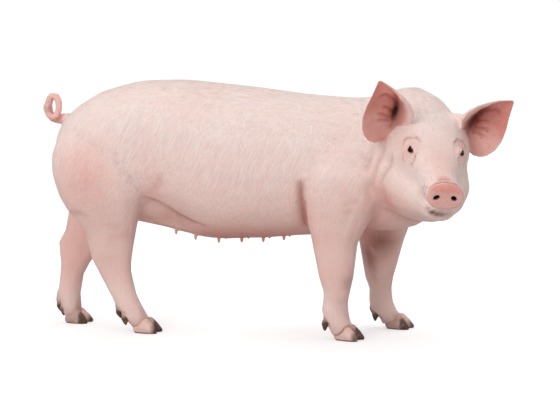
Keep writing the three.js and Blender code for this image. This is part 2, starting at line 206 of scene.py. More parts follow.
def copyOfNodes(name, wanted):
    # one mesh with the surface of all the wanted nodes
    whole = bmesh.new()
    for node in wanted:
        whole.from_mesh(nodes[node].data)
    bmesh.ops.remove_doubles(whole, verts=whole.verts, dist=1e-6)
    mesh = bpy.data.meshes.new(name)
    whole.to_mesh(mesh)
    whole.free()
    return mesh


def finished(piece):
    # the piece with its modifiers applied
    shaped = piece.evaluated_get(bpy.context.evaluated_depsgraph_get())
    mesh = bpy.data.meshes.new_from_object(shaped)
    piece.modifiers.clear()
    old = piece.data
    piece.data = mesh
    bpy.data.meshes.remove(old)
    return piece


def remeshed(piece, voxel):
    remesh = piece.modifiers.new("remesh", "REMESH")
    remesh.mode = "VOXEL"
    remesh.voxel_size = voxel
    return finished(piece)


leastWeight = 0.003


def weigh(piece, name, weights):
    # a vertex group with one weight for each vertex
    group = piece.vertex_groups.get(name) or piece.vertex_groups.new(name=name)
    steps = np.round(np.log(np.clip(weights, leastWeight, 1)) * 12).astype(int)
    for step in np.unique(steps):
        members = np.flatnonzero(steps == step)
        group.add(members.tolist(), math.exp(step / 12), "REPLACE")


def relaxed(piece, weights, rounds):
    weigh(piece, "relax", weights)
    smooth = piece.modifiers.new("relax", "SMOOTH")
    smooth.factor = 0.5
    smooth.iterations = rounds
    smooth.vertex_group = "relax"
    return finished(piece)


evenSteps = (0.6, -0.63)


def evened(piece, wanted, rounds):
    # takes small steps out of an edge without thinning it: each round smooths, then swells back
    mesh = piece.data
    points = meshPoints(mesh)
    free = wanted(points)
    a, b = listed(mesh.edges, "vertices", 2, np.int32).T
    near = free[a] | free[b]
    used, place = np.unique(np.concatenate([a[near], b[near]]), return_inverse=True)
    a, b = place[: near.sum()], place[near.sum():]
    local, moves = points[used], free[used][:, None]
    count = (np.bincount(a, minlength=len(used)) + np.bincount(b, minlength=len(used)))[:, None]
    for step in evenSteps * rounds:
        around = np.empty_like(local)
        for axis in range(3):
            around[:, axis] = np.bincount(a, local[b, axis], len(used))
            around[:, axis] += np.bincount(b, local[a, axis], len(used))
        local = local + step * moves * (around / count - local)
    points[used] = local
    setPoints(mesh, points)


def nearestOn(mesh, points, reach=0.05):
    # for each point: the distance to the mesh and the face that is nearest
    tree = BVHTree.FromPolygons([v.co for v in mesh.vertices], [p.vertices for p in mesh.polygons])
    away = np.full(len(points), reach)
    face = np.full(len(points), -1)
    for i, point in enumerate(points):
        hit = tree.find_nearest(point, reach)
        if hit[0] is not None:
            away[i] = hit[3]
            face[i] = hit[2]
    return away, face


def into(ownFrame, points):
    # part coordinates to a frame's own
    turn = np.array(ownFrame.inverted())
    return points @ turn[:3, :3].T + turn[:3, 3]


def toHead(points):
    # forward, left, up from the joint of neck and skull
    return into(headFrame, points)


def toPig(points):
    return points - np.array(pigOrigin)


def fromFrame(name, marks):
    # millimetres in the head's or the pig's own frame to part coordinates
    turn = np.array(headFrame if name == "head" else Matrix.Translation(pigOrigin))
    return np.array(marks, float) / 1000 @ turn[:3, :3].T + turn[:3, 3]


def addMask(mesh, name, values):
    # a number for each vertex, which a material reads as an attribute
    mesh.attributes.new(name, "FLOAT", "POINT")
    mesh.attributes[name].data.foreach_set("value", values.astype(np.float32))


def smoothStep(values, low, high):
    t = np.clip((values - low) / (high - low), 0, 1)
    return t * t * (3 - 2 * t)


def bump(values, middle, half):
    return np.exp(-(((values - middle) / half) ** 2))


def smoothPath(marks, gap):
    # closely spaced points of a smooth curve through the marks
    ends = np.vstack([2 * marks[0] - marks[1], marks, 2 * marks[-1] - marks[-2]])
    path = []
    for a, b, c, d in zip(ends, ends[1:], ends[2:], ends[3:]):
        steps = max(2, int(np.linalg.norm(c - b) / gap))
        t = np.linspace(0, 1, steps, endpoint=False)[:, None]
        bend = (2 * a - 5 * b + 4 * c - d) * t**2 + (3 * b - a - 3 * c + d) * t**3
        path.append(b + 0.5 * ((c - a) * t + bend))
    path.append(marks[-1:])
    return np.vstack(path)


pathStretch = 12


def stretchesOf(path, points, reach):
    # a path in short stretches, each with its start and the points that may lie within reach of it
    for start in range(0, len(path), pathStretch):
        stretch = path[start:start + pathStretch]
        box = (points > stretch.min(0) - reach) & (points < stretch.max(0) + reach)
        yield start, stretch, np.flatnonzero(box.all(1))


def nearPath(points, path, reach):
    # the points within reach of a path, how far they are from it, and the nearest place on it
    inside = np.flatnonzero(((points > path.min(0) - reach) & (points < path.max(0) + reach)).all(1))
    mine = points[inside]
    away = np.full(len(inside), np.inf)
    place = np.zeros(len(inside), int)
    for start, stretch, close in stretchesOf(path, mine, reach):
        gaps = np.linalg.norm(mine[close][:, None] - stretch[None], axis=2)
        best = gaps.argmin(1)
        gap = gaps[np.arange(len(close)), best]
        closer = gap < away[close]
        away[close[closer]] = gap[closer]
        place[close[closer]] = start + best[closer]
    found = away < reach
    return inside[found], away[found], place[found]


def ontoSurface(points, path, reach=0.012, rounds=24):
    # the path, moved to the nearest points of the skin and evened out
    near = points[((points > path.min(0) - reach) & (points < path.max(0) + reach)).all(1)]
    moved = path.copy()
    for start, stretch, close in stretchesOf(path, near, reach):
        if len(close):
            gaps = np.linalg.norm(stretch[:, None] - near[close][None], axis=2)
            found = gaps.min(1) < reach
            moved[start:start + pathStretch][found] = near[close][gaps.argmin(1)][found]
    for turn in range(rounds):
        moved[1:-1] = (moved[:-2] + 2 * moved[1:-1] + moved[2:]) / 4
    return moved


def softSpot(local, at, size, side=1):
    # 1 in the middle of a soft spot, less outwards; its middle and reach are in millimetres
    away = (local - np.array(at) / 1000 * (1, side, 1)) / (np.array(size) / 1000)
    return np.exp(-(away**2).sum(1))


# ---- camera, floor and light

view = {"azimuth": 10, "elevation": 5, "distance": 4.6, "height": 0.330, "lens": 109.7,
        "sensor": 36, "clip": 60}


def addCamera():
    camera = bpy.data.cameras.new("camera")
    camera.sensor_width = view["sensor"]
    camera.sensor_fit = "HORIZONTAL"
    camera.lens = view["lens"]
    camera.clip_end = view["clip"]
    body = bpy.data.objects.new("camera", camera)
    scene.collection.objects.link(body)
    azimuth, elevation = math.radians(view["azimuth"]), math.radians(view["elevation"])
    level = math.cos(elevation)
    back = Vector((math.sin(azimuth) * level, -math.cos(azimuth) * level, math.sin(elevation)))
    body.location = pigOrigin + Vector((0, 0, view["height"])) + back * view["distance"]
    body.rotation_euler = (math.radians(90 - view["elevation"]), 0, azimuth)
    scene.camera = body


def addLamp(lamp):
    light = bpy.data.lights.new(lamp["name"], "AREA")
    light.shape = "RECTANGLE"
    light.size, light.size_y = lamp["size"]
    light.energy = lamp["power"]
    body = bpy.data.objects.new(lamp["name"], light)
    body.location = pigOrigin + Vector(lamp["place"])
    aim = Vector(lamp["aim"]) - Vector(lamp["place"])
    body.rotation_euler = aim.to_track_quat("-Z", "Y").to_euler()
    scene.collection.objects.link(body)


studio = {"flat": 5.6, "bend": 2.6, "wall": 3.4, "bendSteps": 16, "turnSteps": 96, "skyPower": 0.86}
paper = {
    "colour": colour(0.62, 0.62, 0.62), "roughness": 0.9, "glow": 0.59,
    # painted shadow: it glows less round the fore and the hind feet: their middle, half their gap, near
    # and far
    "shadowPool": (-0.13, -0.02, 0), "gap": (0.36, 0, 0), "near": 0.10, "far": 0.55, "shade": 0.13,
}
lamps = [
    {"name": "key", "place": (-1.6, -3.6, 2.5), "aim": (0, 0, 0.3), "size": (1.7, 1.3), "power": 52},
    {"name": "top", "place": (0, 0, 3.6), "aim": (0, 0, 0), "size": (3.6, 2.4), "power": 4},
    {"name": "rear", "place": (0.9, 3.6, 2.0), "aim": (0, 0, 0.3), "size": (2.6, 1.8), "power": 10},
    # a small lamp for the spark in the eyes
    {"name": "spark", "place": (-0.6, -3.5, 1.7), "aim": (0.35, -0.3, 0.5), "size": (0.5, 0.5),
     "power": 7},
]


def makePaper():
    material, tree, shader = newMaterial("pale paper")
    place = vectorMaths(tree, "SUBTRACT", objectPlace(tree), paper["shadowPool"])
    place = vectorMaths(tree, "SUBTRACT", vectorMaths(tree, "ABSOLUTE", place), paper["gap"])
    ends = {"From Min": paper["near"], "From Max": paper["far"]}
    ends.update({"To Min": paper["glow"] - paper["shade"], "To Max": paper["glow"]})
    # a painted shadow round the feet: the glow falls off near them
    shadowPool = addNode(
        tree, "ShaderNodeMapRange", {"Value": vectorMaths(tree, "LENGTH", place), **ends},
        interpolation_type="SMOOTHSTEP",
    )
    # the camera sees the paper whiter than it lights the belly
    seen = addNode(tree, "ShaderNodeLightPath").outputs["Is Camera Ray"]
    give(tree, shader, {
        "Base Color": paper["colour"], "Roughness": paper["roughness"],
        "Emission Color": colour(1, 1, 1), "Emission Strength": times(tree, seen, shadowPool.outputs["Result"]),
    })
    return material


def addSweep():
    # a round sweep of pale paper: flat, then bent up into a wall on every side
    flat, bend, steps = studio["flat"], studio["bend"], studio["bendSteps"]
    sweep = bmesh.new()
    profile = [sweep.verts.new((0, 0, 0))]
    for step in range(steps + 1):
        turn = math.pi / 2 * step / steps
        profile.append(sweep.verts.new((flat + bend * math.sin(turn), 0, bend * (1 - math.cos(turn)))))
    profile.append(sweep.verts.new((flat + bend, 0, studio["wall"])))
    edges = [sweep.edges.new(pair) for pair in zip(profile, profile[1:])]
    bmesh.ops.spin(
        sweep, geom=profile + edges, cent=(0, 0, 0), axis=(0, 0, 1),
        angle=math.tau, steps=studio["turnSteps"], use_merge=True,
    )
    bmesh.ops.remove_doubles(sweep, verts=sweep.verts, dist=1e-5)
    bmesh.ops.recalc_face_normals(sweep, faces=sweep.faces)
    if sum(face.normal.z for face in sweep.faces) < 0:
        bmesh.ops.reverse_faces(sweep, faces=sweep.faces)
    floor = addObject("floor", bpy.data.meshes.new("floor"))
    sweep.to_mesh(floor.data)
    sweep.free()
    shadeSmooth(floor.data)
    floor.data.materials.append(makePaper())


def addSky():
    world = bpy.data.worlds.new("white room")
    world.use_nodes = True
    sky = world.node_tree.nodes["Background"]
    give(world.node_tree, sky, {"Color": colour(1, 1, 1), "Strength": studio["skyPower"]})
    scene.world = world
    scene.view_settings.view_transform = "Standard"


addCamera()
addSweep()
addSky()
for lamp in lamps:
    addLamp(lamp)
report("camera, floor and light")


# ---- the form of the skin

skinSizes = {
    "voxel": 0.0021, "coatDepth": 0.0012, "relaxRounds": 600, "swell": 0.8, "swellMost": 0.006,
    "triangles": 188000, "tailSwell": 0.0028,
}

# rounds of smoothing that each part of the body gets
relaxRounds = {
    "trunk": 600, "neck": 420, "head": 130, "snout_disc": 12, "ear": 26, "tail": 12,
    "claw": 16, "eye": 90, "foot": 45, "shank": 130, "thigh": 420,
}
# each teat: how far out a point of the belly lies, where it goes and how far down, in millimetres
teats = {
    "rows": 0.047, "places": (-0.277, -0.223, -0.159, -0.096, -0.037, 0.019),
    "from": (0, 1.2, 2.4, 3.6, 4.8, 6.0, 7.2, 8.8, 11), "to": (0, 2.2, 3.8, 4.3, 4.3, 4.6, 5.4, 7.4, 11),
    "drop": (9.4, 9.0, 7.8, 5.9, 4.0, 2.4, 1.1, 0.4, 0),
}


def teatGaps(points):
    # for each teat, the points of the belly near it, how far off they are and in which direction
    pig = toPig(points)
    for forth in teats["places"]:
        for side in (-1, 1):
            gap = pig[:, :2] - (forth, side * teats["rows"])
            away = np.linalg.norm(gap, axis=1) * 1000
            near = np.flatnonzero((away < 16) & (pig[:, 2] < 0.34) & (pig[:, 2] > 0.2))
            yield near, away[near], gap[near] / np.maximum(away[near], 1e-6)[:, None]


def teatRegion(points):
    found = np.zeros(len(points), bool)
    for near, away, gap in teatGaps(points):
        found[near] = True
    return found


def drawTeats(points):
    for near, away, gap in teatGaps(points):
        inside = away < 11
        near, away, gap = near[inside], away[inside], gap[inside]
        out = np.interp(away, teats["from"], teats["to"])
        points[near, :2] += gap * (out - away)[:, None]
        points[near, 2] -= np.interp(away, teats["from"], teats["drop"]) / 1000
    return points


def fleshOwners(points):
    # for each point, the CAD node whose surface is nearest
    names = fleshNodes + clawNodes + eyeNodes
    owners = []
    whole = bmesh.new()
    for k, node in enumerate(names):
        whole.from_mesh(nodes[node].data)
        owners += [k] * (len(whole.faces) - len(owners))
    mesh = bpy.data.meshes.new("owners")
    whole.to_mesh(mesh)
    whole.free()
    away, face = nearestOn(mesh, points)
    bpy.data.meshes.remove(mesh)
    return names, np.array(owners)[face]


def roundsAt(points, names, owner):
    rounds = np.zeros(len(points))
    height = points[:, 2]
    forward = toHead(points)[:, 0]
    for k, node in enumerate(names):
        mine = owner == k
        if "claw" in node:
            rounds[mine] = relaxRounds["claw"]
        elif "leg" in node:
            levels = (0.04, 0.09, 0.24, 0.42)
            steps = [relaxRounds[part] for part in ("foot", "shank", "shank", "thigh")]
            rounds[mine] = np.interp(height[mine], levels, steps)
        elif node == "head":
            near = smoothStep(forward[mine], 0.20, 0.27)
            rounds[mine] = relaxRounds["head"] * (1 - near) + relaxRounds["snout_disc"] * near
        else:
            rounds[mine] = relaxRounds[node.split("_")[0] if node != "snout_disc" else node]
    return rounds


def makeSkinForm():
    piece = addObject("skin", copyOfNodes("skin", fleshNodes + eyeNodes + clawNodes))
    remeshed(piece, skinSizes["voxel"])
    report(f"remeshed skin of {len(piece.data.polygons)} faces")
    points = meshPoints(piece.data)
    names, owner = fleshOwners(points)
    report("found the nodes under the skin")
    weights = roundsAt(points, names, owner) / skinSizes["relaxRounds"]
    relaxed(piece, weights, skinSizes["relaxRounds"])
    # the smoothing shrinks the form, so it swells back by as much, evenly
    smooth, normals = meshPoints(piece.data), meshNormals(piece.data)
    shrunk = ((points - smooth) * normals).sum(1)
    gauge = addObject("gauge", piece.data.copy())
    setPoints(gauge.data, np.stack([shrunk, shrunk, shrunk], 1))
    relaxed(gauge, weights, skinSizes["relaxRounds"])
    swell = meshPoints(gauge.data)[:, 0] * skinSizes["swell"]
    bpy.data.objects.remove(gauge)
    most = skinSizes["swellMost"]
    setPoints(piece.data, smooth + normals * np.clip(swell, -most, most)[:, None])
    report("relaxed the skin")
    return piece


def refined(piece, wanted, rounds):
    # splits each face whose middle is wanted in four, and relaxes the new points
    mesh = piece.data
    chosen = np.flatnonzero(wanted(listed(mesh.polygons, "center", 3).astype(float)))
    shape = bmesh.new()
    shape.from_mesh(mesh)
    shape.faces.ensure_lookup_table()
    edges = {edge for index in chosen for edge in shape.faces[index].edges}
    bmesh.ops.subdivide_edges(shape, edges=list(edges), cuts=1, use_grid_fill=True)
    shape.to_mesh(mesh)
    shape.free()
    return relaxed(piece, np.where(wanted(meshPoints(mesh)), 1.0, leastWeight), rounds)


def headRegion(points):
    # the face ahead of the ears
    return toHead(points)[:, 0] > 0.085


def eyeRegion(reach):
    def near(points):
        found = np.zeros(len(points), bool)
        for side in (-1, 1):
            x, y, z = eyePlaces(points, side)
            found |= (np.hypot(x, y) < reach) & (z > 0)
        return found
    return near


# ---- eyes

eyeLook = {
    "gaze": (0.42, 0.86, 0.26), "slant": -10, "half": 0.0112, "upper": 0.0080, "lower": 0.0068,
    "rim": 0.0012, "lidRise": 0.0010, "foldDepth": 0.0007, "ballBack": 0.0010,
}


def eyeAxes(side):
    # the middle of an eye, and rows along its opening, up across its lids and along its gaze
    gaze = Vector(eyeLook["gaze"])
    gaze.y *= side
    gaze.normalize()
    ahead = Vector((1, 0, math.tan(math.radians(eyeLook["slant"]))))
    along = (ahead - gaze * ahead.dot(gaze)).normalized()
    over = gaze.cross(along)
    if over.z < 0:
        over.negate()
    place = headFrame @ Vector((eyeSpot["forward"], side * eyeSpot["aside"], eyeSpot["up"]))
    axes = np.array([headTurned.to_3x3() @ axis for axis in (along, over, gaze)])
    return np.array(place), axes


def eyePlaces(points, side):
    # metres along an eye's opening, up across its lids and out of it
    place, axes = eyeAxes(side)
    return ((points - place) @ axes.T).T


def lidMeasure(x, y):
    # 1 on the rim of the lids, less in the opening, more outside it
    high = np.where(y > 0, eyeLook["upper"], eyeLook["lower"])
    return np.hypot(x / eyeLook["half"], y / high)


def shapeLids(points):
    # the opening sinks behind the eyeball, and the lids lie on it
    radius = eyeSpot["radius"]
    for side in (-1, 1):
        place, axes = eyeAxes(side)
        gaps = (points - place) @ axes.T
        near = np.flatnonzero((np.hypot(gaps[:, 0], gaps[:, 1]) < 0.042) & (gaps[:, 2] > -0.002))
        x, y, z = gaps[near].T
        e = lidMeasure(x, y)
        ball = np.sqrt(np.maximum(radius**2 - x**2 - y**2, (0.3 * radius) ** 2))
        spread = smoothStep(e, 1.3, 2.2)
        lid = (ball + eyeLook["rim"]) * (1 - spread) + z * spread
        upper = smoothStep(y, -0.003, 0.003)
        lid += eyeLook["rim"] * bump(e, 1.12, 0.15)
        lid += eyeLook["lidRise"] * bump(e, 1.55, 0.4)
        lid -= eyeLook["foldDepth"] * bump(e, 1.95, 0.13) * upper
        inside = 1 - smoothStep(e, 0.93, 1.03)
        depth = lid * (1 - inside) + (ball - 0.0016) * inside
        points[near] += (depth - z)[:, None] * axes[2]
    return points


# ---- forms and folds that the skin gets on top of the plain body

# swellings and hollows in millimetres: middle, reach along each axis, rise and whether mirrored
swellings = [
    ("pig", (150, 150, 480), (85, 70, 105), 6, True),
    ("pig", (108, -150, 385), (45, 60, 60), 5, False),
    ("pig", (-470, 150, 440), (95, 80, 110), 5, True),
    ("pig", (-345, 135, 500), (60, 60, 70), -4, True),
    ("pig", (-440, -98, 222), (20, 40, 42), -5, False),
    ("head", (60, 100, -62), (60, 60, 52), 6, True),
    ("head", (150, 72, -8), (46, 40, 24), -4, True),
    ("head", (150, 0, 60), (60, 26, 30), -2, False),
    ("head", (138, 66, 70), (26, 26, 16), 2.5, True),
    ("head", (232, 50, -30), (26, 30, 18), 3, True),
    ("head", (262, 0, -78), (22, 30, 16), 3, False),
]

# furrows in millimetres: a path, its depth and half width, and how far its right and left lips
# rise as a share of the depth; mirrored ones run on both sides, one that runs over the middle is
# given up to there, a shelf sinks all on the right, and tint is the shade painted in its bottom
plainFurrow = {
    "lips": (0.6, 0.6), "mirror": False, "over": False, "tint": 0.8, "fade": 0.3, "shelf": 0,
}
furrowsOn = {
    "head": {
        "mouth": {"depth": 1.1, "width": 2.2, "lips": (0.2, 0.3), "mirror": True, "tint": 0.4,
            "marks": [(205, -60, -57), (225, -53, -58), (245, -46, -59), (264, -35, -62),
                      (272, -24, -64)]},
        "front of the mouth": {"depth": 1.2, "width": 2.4, "lips": (0.2, 0.3), "tint": 0.2,
            "marks": [(268, -30, -63), (276, 0, -65), (268, 30, -63)]},
        "lid fold": {"depth": 2.8, "width": 2.3, "mirror": True, "tint": 0.6,
            "marks": [(101, -80, 36), (96, -80, 46), (93, -76, 58), (97, -66, 69), (108, -54, 73),
                      (120, -46, 70), (131, -40, 62)]},
        "bag": {"depth": 2.6, "width": 2.1, "mirror": True, "tint": 0.6,
            "marks": [(134, -56, 44), (144, -54, 36), (149, -59, 24), (146, -64, 15), (137, -70, 8)]},
        "bag behind": {"depth": 2.2, "width": 2.0, "mirror": True, "tint": 0.6,
            "marks": [(106, -78, 32), (109, -79, 22), (115, -78, 14), (122, -76, 8)]},
        "philtrum": {"depth": 1.3, "width": 2.4, "lips": (0.2, 0.2), "tint": 0.4,
            "marks": [(304, 0, -26), (304, 0, -38), (294, 0, -48), (282, 0, -56), (276, 0, -64)]},
        "disc": {"depth": 0.5, "width": 3.0, "lips": (0.3, 0.3), "tint": 0.3, "over": True,
            "marks": [(303, 0, -34), (303, -20, -32), (303, -33, -21), (303, -37, -8), (303, -32, 7),
                      (303, -18, 16), (303, 0, 19)]},
        "rim": {"depth": -1.6, "width": 2.4, "lips": (0, 0), "tint": 0, "fade": 0.2, "over": True,
            "marks": [(299, -38, -30), (299, -45, -10), (299, -40, 10), (299, -22, 22), (299, 0, 26)]},
        "behind the rim": {"depth": 2.4, "width": 2.8, "lips": (0.2, 0.5), "fade": 0.2, "over": True,
            "marks": [(289, -38, -30), (288, -43, -12), (288, -38, 10), (288, -22, 22), (288, 0, 26)]},
        "nose top 1": {"depth": 2.0, "width": 2.4, "lips": (0.7, 0.7), "over": True,
            "marks": [(278, -34, 16), (277, -22, 25), (276, 0, 29)]},
        "nose top 2": {"depth": 1.7, "width": 2.4, "lips": (0.7, 0.7),
            "marks": [(268, -26, 22), (266, -12, 28), (265, 2, 30), (266, 14, 28), (268, 24, 23)]},
        "nose top 3": {"depth": 1.3, "width": 2.4,
            "marks": [(257, -16, 28), (254, 0, 31), (257, 18, 28)]},
        "nose side 1": {"depth": 1.8, "width": 2.6, "mirror": True,
            "marks": [(268, -40, 12), (262, -45, -6), (260, -46, -24), (262, -43, -38)]},
        "nose side 2": {"depth": 1.6, "width": 2.6, "mirror": True,
            "marks": [(248, -44, 6), (242, -48, -12), (240, -49, -30), (240, -48, -44)]},
        "nose side 3": {"depth": 1.2, "width": 2.6, "mirror": True,
            "marks": [(228, -47, -6), (222, -51, -22), (220, -53, -40)]},
        "cheek fold": {"depth": 1.2, "width": 6, "lips": (0.5, 0.5), "mirror": True,
            "marks": [(70, -98, 24), (66, -103, 0), (62, -106, -28), (54, -110, -60), (44, -112, -84)]},
        "neck fold": {"depth": 3.0, "width": 8, "lips": (0.5, 0.5), "tint": 0.32,
            "marks": [(2, -108, 40), (6, -111, 8), (15, -119, -24), (24, -126, -56), (25, -131, -92),
                      (24, -138, -116)]},
        "neck fold behind": {"depth": 2.0, "width": 8, "lips": (0.5, 0.5), "tint": 0.32,
            "marks": [(-16, -128, 20), (-12, -134, -20), (-6, -142, -60), (-2, -150, -100)]},
    },
    "pig": {
        "elbow": {"depth": 7, "width": 9, "lips": (0.5, 0.3),
            "marks": [(78, -150, 440), (80, -146, 400), (82, -134, 356), (84, -113, 320), (88, -73, 287)]},
        "flank hollow": {"depth": 2.6, "width": 9, "lips": (0.3, 0.5), "tint": 0.3,
            "marks": [(-280, -156, 445), (-290, -152, 428), (-303, -144, 407), (-322, -133, 390),
                      (-340, -117, 373)]},
        "flank fold": {"depth": 3, "width": 6, "lips": (0, 0.9), "shelf": 12, "reach": 62,
            "marks": [(-352, -108, 372), (-338, -110, 366), (-311, -108, 354), (-286, -100, 338),
                      (-254, -97, 318), (-221, -96, 303), (-190, -92, 294), (-160, -88, 288)]},
        "gaskin 1": {"depth": 1.1, "width": 4, "tint": 0.4,
            "marks": [(-453, -133, 284), (-425, -127, 273), (-401, -114, 259), (-384, -95, 262)]},
        "gaskin 2": {"depth": 1.0, "width": 4, "tint": 0.4,
            "marks": [(-448, -130, 268), (-424, -122, 258), (-402, -110, 246)]},
        "gaskin 3": {"depth": 0.9, "width": 4, "tint": 0.4,
            "marks": [(-462, -134, 300), (-432, -130, 292), (-402, -116, 284)]},
        "ham": {"depth": 2.0, "width": 8, "lips": (0.5, 0.5), "tint": 0.4,
            "marks": [(-560, -104, 322), (-540, -128, 326), (-516, -145, 329), (-490, -140, 308)]},
        "forearm 1": {"depth": 0.7, "width": 4, "tint": 0.3,
            "marks": [(166, -150, 273), (184, -149, 278), (209, -139, 267), (226, -130, 277)]},
        "forearm 2": {"depth": 0.6, "width": 4, "tint": 0.3,
            "marks": [(170, -150, 258), (190, -149, 262), (212, -138, 254)]},
        "shoulder 1": {"depth": 0.8, "width": 6, "lips": (0.5, 0.5),
            "marks": [(192, -160, 352), (212, -160, 364), (237, -156, 373)]},
        "shoulder 2": {"depth": 0.7, "width": 6, "lips": (0.5, 0.5),
            "marks": [(188, -160, 334), (204, -159, 342), (220, -156, 345)]},
    },
}
furrows = [
    {**plainFurrow, "frame": where, **furrow}
    for where, group in furrowsOn.items() for furrow in group.values()
]


def swollen(points, normals):
    local = {"head": toHead(points), "pig": toPig(points)}
    rise = np.zeros(len(points))
    for where, at, size, height, mirrored in swellings:
        for side in (-1, 1) if mirrored else (1,):
            rise += height / 1000 * softSpot(local[where], at, size, side)
    return points + normals * rise[:, None]


def furrowPlaces(points, furrow, mirror=1):
    # the points near a furrow, how far off they are, how deep it is there, and its path
    marks = np.array(furrow["marks"], float) * (1, mirror, 1)
    if furrow["over"]:
        marks = np.vstack([marks, marks[-2::-1] * (1, -1, 1)])
    width = furrow["width"] / 1000
    path = ontoSurface(points, smoothPath(fromFrame(furrow["frame"], marks), width / 3))
    near, away, place = nearPath(points, path, furrow.get("reach", 4.5 * furrow["width"]) / 1000)
    along = place / (len(path) - 1)
    fade = furrow["fade"]
    depth = furrow["depth"] / 1000 * smoothStep(along, 0, fade) * smoothStep(1 - along, 0, fade)
    return near, away, depth, path, place


shelfEdge = 0.015


def carve(points, normals, furrow, mirror=1):
    near, away, depth, path, place = furrowPlaces(points, furrow, mirror)
    width = furrow["width"] / 1000
    run = np.gradient(path, axis=0)[place]
    run /= np.linalg.norm(run, axis=1)[:, None]
    aside = (np.cross(run, normals[near]) * (points[near] - path[place])).sum(1) * mirror
    rightLip, leftLip = furrow["lips"]
    lip = np.where(aside > 0, rightLip, leftLip) * bump(away, 2.3 * width, 1.1 * width)
    rise = depth * (lip - bump(away, 0, width))
    if furrow["shelf"]:
        fall = 1 - smoothStep(away, shelfEdge, furrow["reach"] / 1000)
        fall *= smoothStep(aside, -0.5 * width, width)
        rise -= furrow["shelf"] / 1000 * fall * depth / depth.max()
    points[near] += normals[near] * rise[:, None]


def creaseShadeMask(points):
    # painted shade: 1 in the bottom of a deep furrow
    mask = np.zeros(len(points))
    for furrow in furrows:
        for mirror in (1, -1) if furrow["mirror"] else (1,):
            near, away, depth, path, place = furrowPlaces(points, furrow, mirror)
            value = furrow["tint"] * np.clip(depth / 0.0025, 0, 1)
            value = value * bump(away, 0, 1.4 * furrow["width"] / 1000)
            mask[near] = np.maximum(mask[near], value)
    return np.minimum(mask, 1)


def sculpt(piece):
    mesh = piece.data
    points = swollen(meshPoints(mesh), meshNormals(mesh))
    setPoints(mesh, points)
    normals = meshNormals(mesh)
    for furrow in furrows:
        for mirror in (1, -1) if furrow["mirror"] else (1,):
            carve(points, normals, furrow, mirror)
    points = shapeLids(points)
    points = shapeEars(points, normals)
    points = drawTeats(points)
    points = drawnUnderClaws(points, normals)
    points += normals * (skinSizes["tailSwell"] * tailMask(points))[:, None]
    points -= normals * skinSizes["coatDepth"]
    setPoints(mesh, points)


def tailBox():
    low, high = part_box("tail")
    return np.array(low), np.array(high)


def inTail(points):
    low, high = tailBox()
    return ((points > low - 0.002) & (points < high + 0.002)).all(1)


def tailMask(points):
    # 1 on the tail's coil, less on its root
    return inTail(points) * smoothStep(tailBox()[1][0] - points[:, 0], 0.006, 0.016)


# ---- ears and feet

earLook = {
    # marks up and out from the ear hole in millimetres
    "canal": [(-40, 54), (-26, 24), (-10, -4), (0, -26)], "canalDepth": 20, "canalWidth": 9,
    "ridges": [
        [(6, 74), (-18, 80), (-36, 52)],
        [(8, 48), (-8, 38), (-14, 22)],
        [(26, 40), (12, 24), (0, 8)],
        [(34, 16), (20, 8), (6, -2)],
        [(-46, 92), (-40, 66), (-34, 40)],
    ],
    "ridgeDepth": 2.8, "ridgeWidth": 5.2, "groove": 3.5, "roll": 5.0, "lowest": -54, "highest": 137,
    # where the inner edges run into the brow, forward, left and up from the joint of neck and skull
    "bases": [(72, -66, 92), (66, -76, 82)], "baseReach": 0.016,
    # up the ear: its outer and inner edges, and how far they stand forward
    "up": (-48, -22, 0, 26, 53, 78, 100, 118, 130), "outer": (48, 68, 70, 67, 56, 36, 13, -4, -15),
    "inner": (22, -30, -62, -74, -73, -63, -49, -34, -22), "cup": (6, 28, 36, 36, 30, 22, 13, 7, 3),
}


def earPlaces(points, side):
    # an ear's own coordinates in millimetres: forward out of its hollow, outward, up to its tip
    forward, aside, up = into(earFrame(side), points).T * 1000
    return forward, side * aside, np.where(up < 0, up / earJoints[side]["lobe"], up)


def alongEar(up):
    return (up > earLook["lowest"]) & (up < earLook["highest"])


def earLeaf(points, side):
    # 1 on an ear's leaf, and how far across it a point is, from -1 at its inner edge to 1
    forward, out, up = earPlaces(points, side)
    outer, inner, cup = (np.interp(up, earLook["up"], earLook[n]) for n in ("outer", "inner", "cup"))
    across = (2 * out - outer - inner) / (outer - inner)
    leaf = alongEar(up) & (np.abs(across) < 1.15) & (forward > -26)
    return leaf * smoothStep(cup * across**2 + 9 - forward, 0, 4), across


def earRegion(points):
    found = np.zeros(len(points), bool)
    for side in (-1, 1):
        forward, out, up = earPlaces(points, side)
        found |= alongEar(up) & (out > -82) & (out < 78) & (forward > -14) & (forward < 44)
    return found


def earBaseWeights(points):
    # where the inner edges of the ears run into the brow
    head = toHead(points)
    weights = np.full(len(points), leastWeight)
    for place in earLook["bases"]:
        away = np.linalg.norm(head - np.array(place) / 1000, axis=1) / earLook["baseReach"]
        weights = np.maximum(weights, np.exp(-(away**2)))
    return weights


def earMarks(out, up):
    # how near each place in the hollow of an ear is to its canal, its furrows and their lips
    flat = np.stack([out, up, np.zeros(len(out))], 1)
    canal, shade, furrow, lips = np.zeros((4, len(out)))
    path = smoothPath(np.array([(*mark, 0) for mark in earLook["canal"]], float), 1.5)
    inside, away, place = nearPath(flat, path, earLook["canalWidth"] * 4)
    along = place / (len(path) - 1)
    canal[inside] = bump(along, 0.5, 0.40) * bump(away, 0, earLook["canalWidth"])
    shade[inside] = bump(along, 0.45, 0.7) * bump(away, 0, 2 * earLook["canalWidth"])
    width = earLook["ridgeWidth"]
    for ridge in earLook["ridges"]:
        path = smoothPath(np.array([(*mark, 0) for mark in ridge], float), 1.5)
        inside, away, place = nearPath(flat, path, width * 4)
        fade = smoothStep(place / (len(path) - 1), 0, 0.4)
        furrow[inside] = np.maximum(furrow[inside], fade * bump(away, 0, width))
        lips[inside] = np.maximum(lips[inside], fade * bump(away, 2 * width, width))
    return canal, shade, furrow, lips


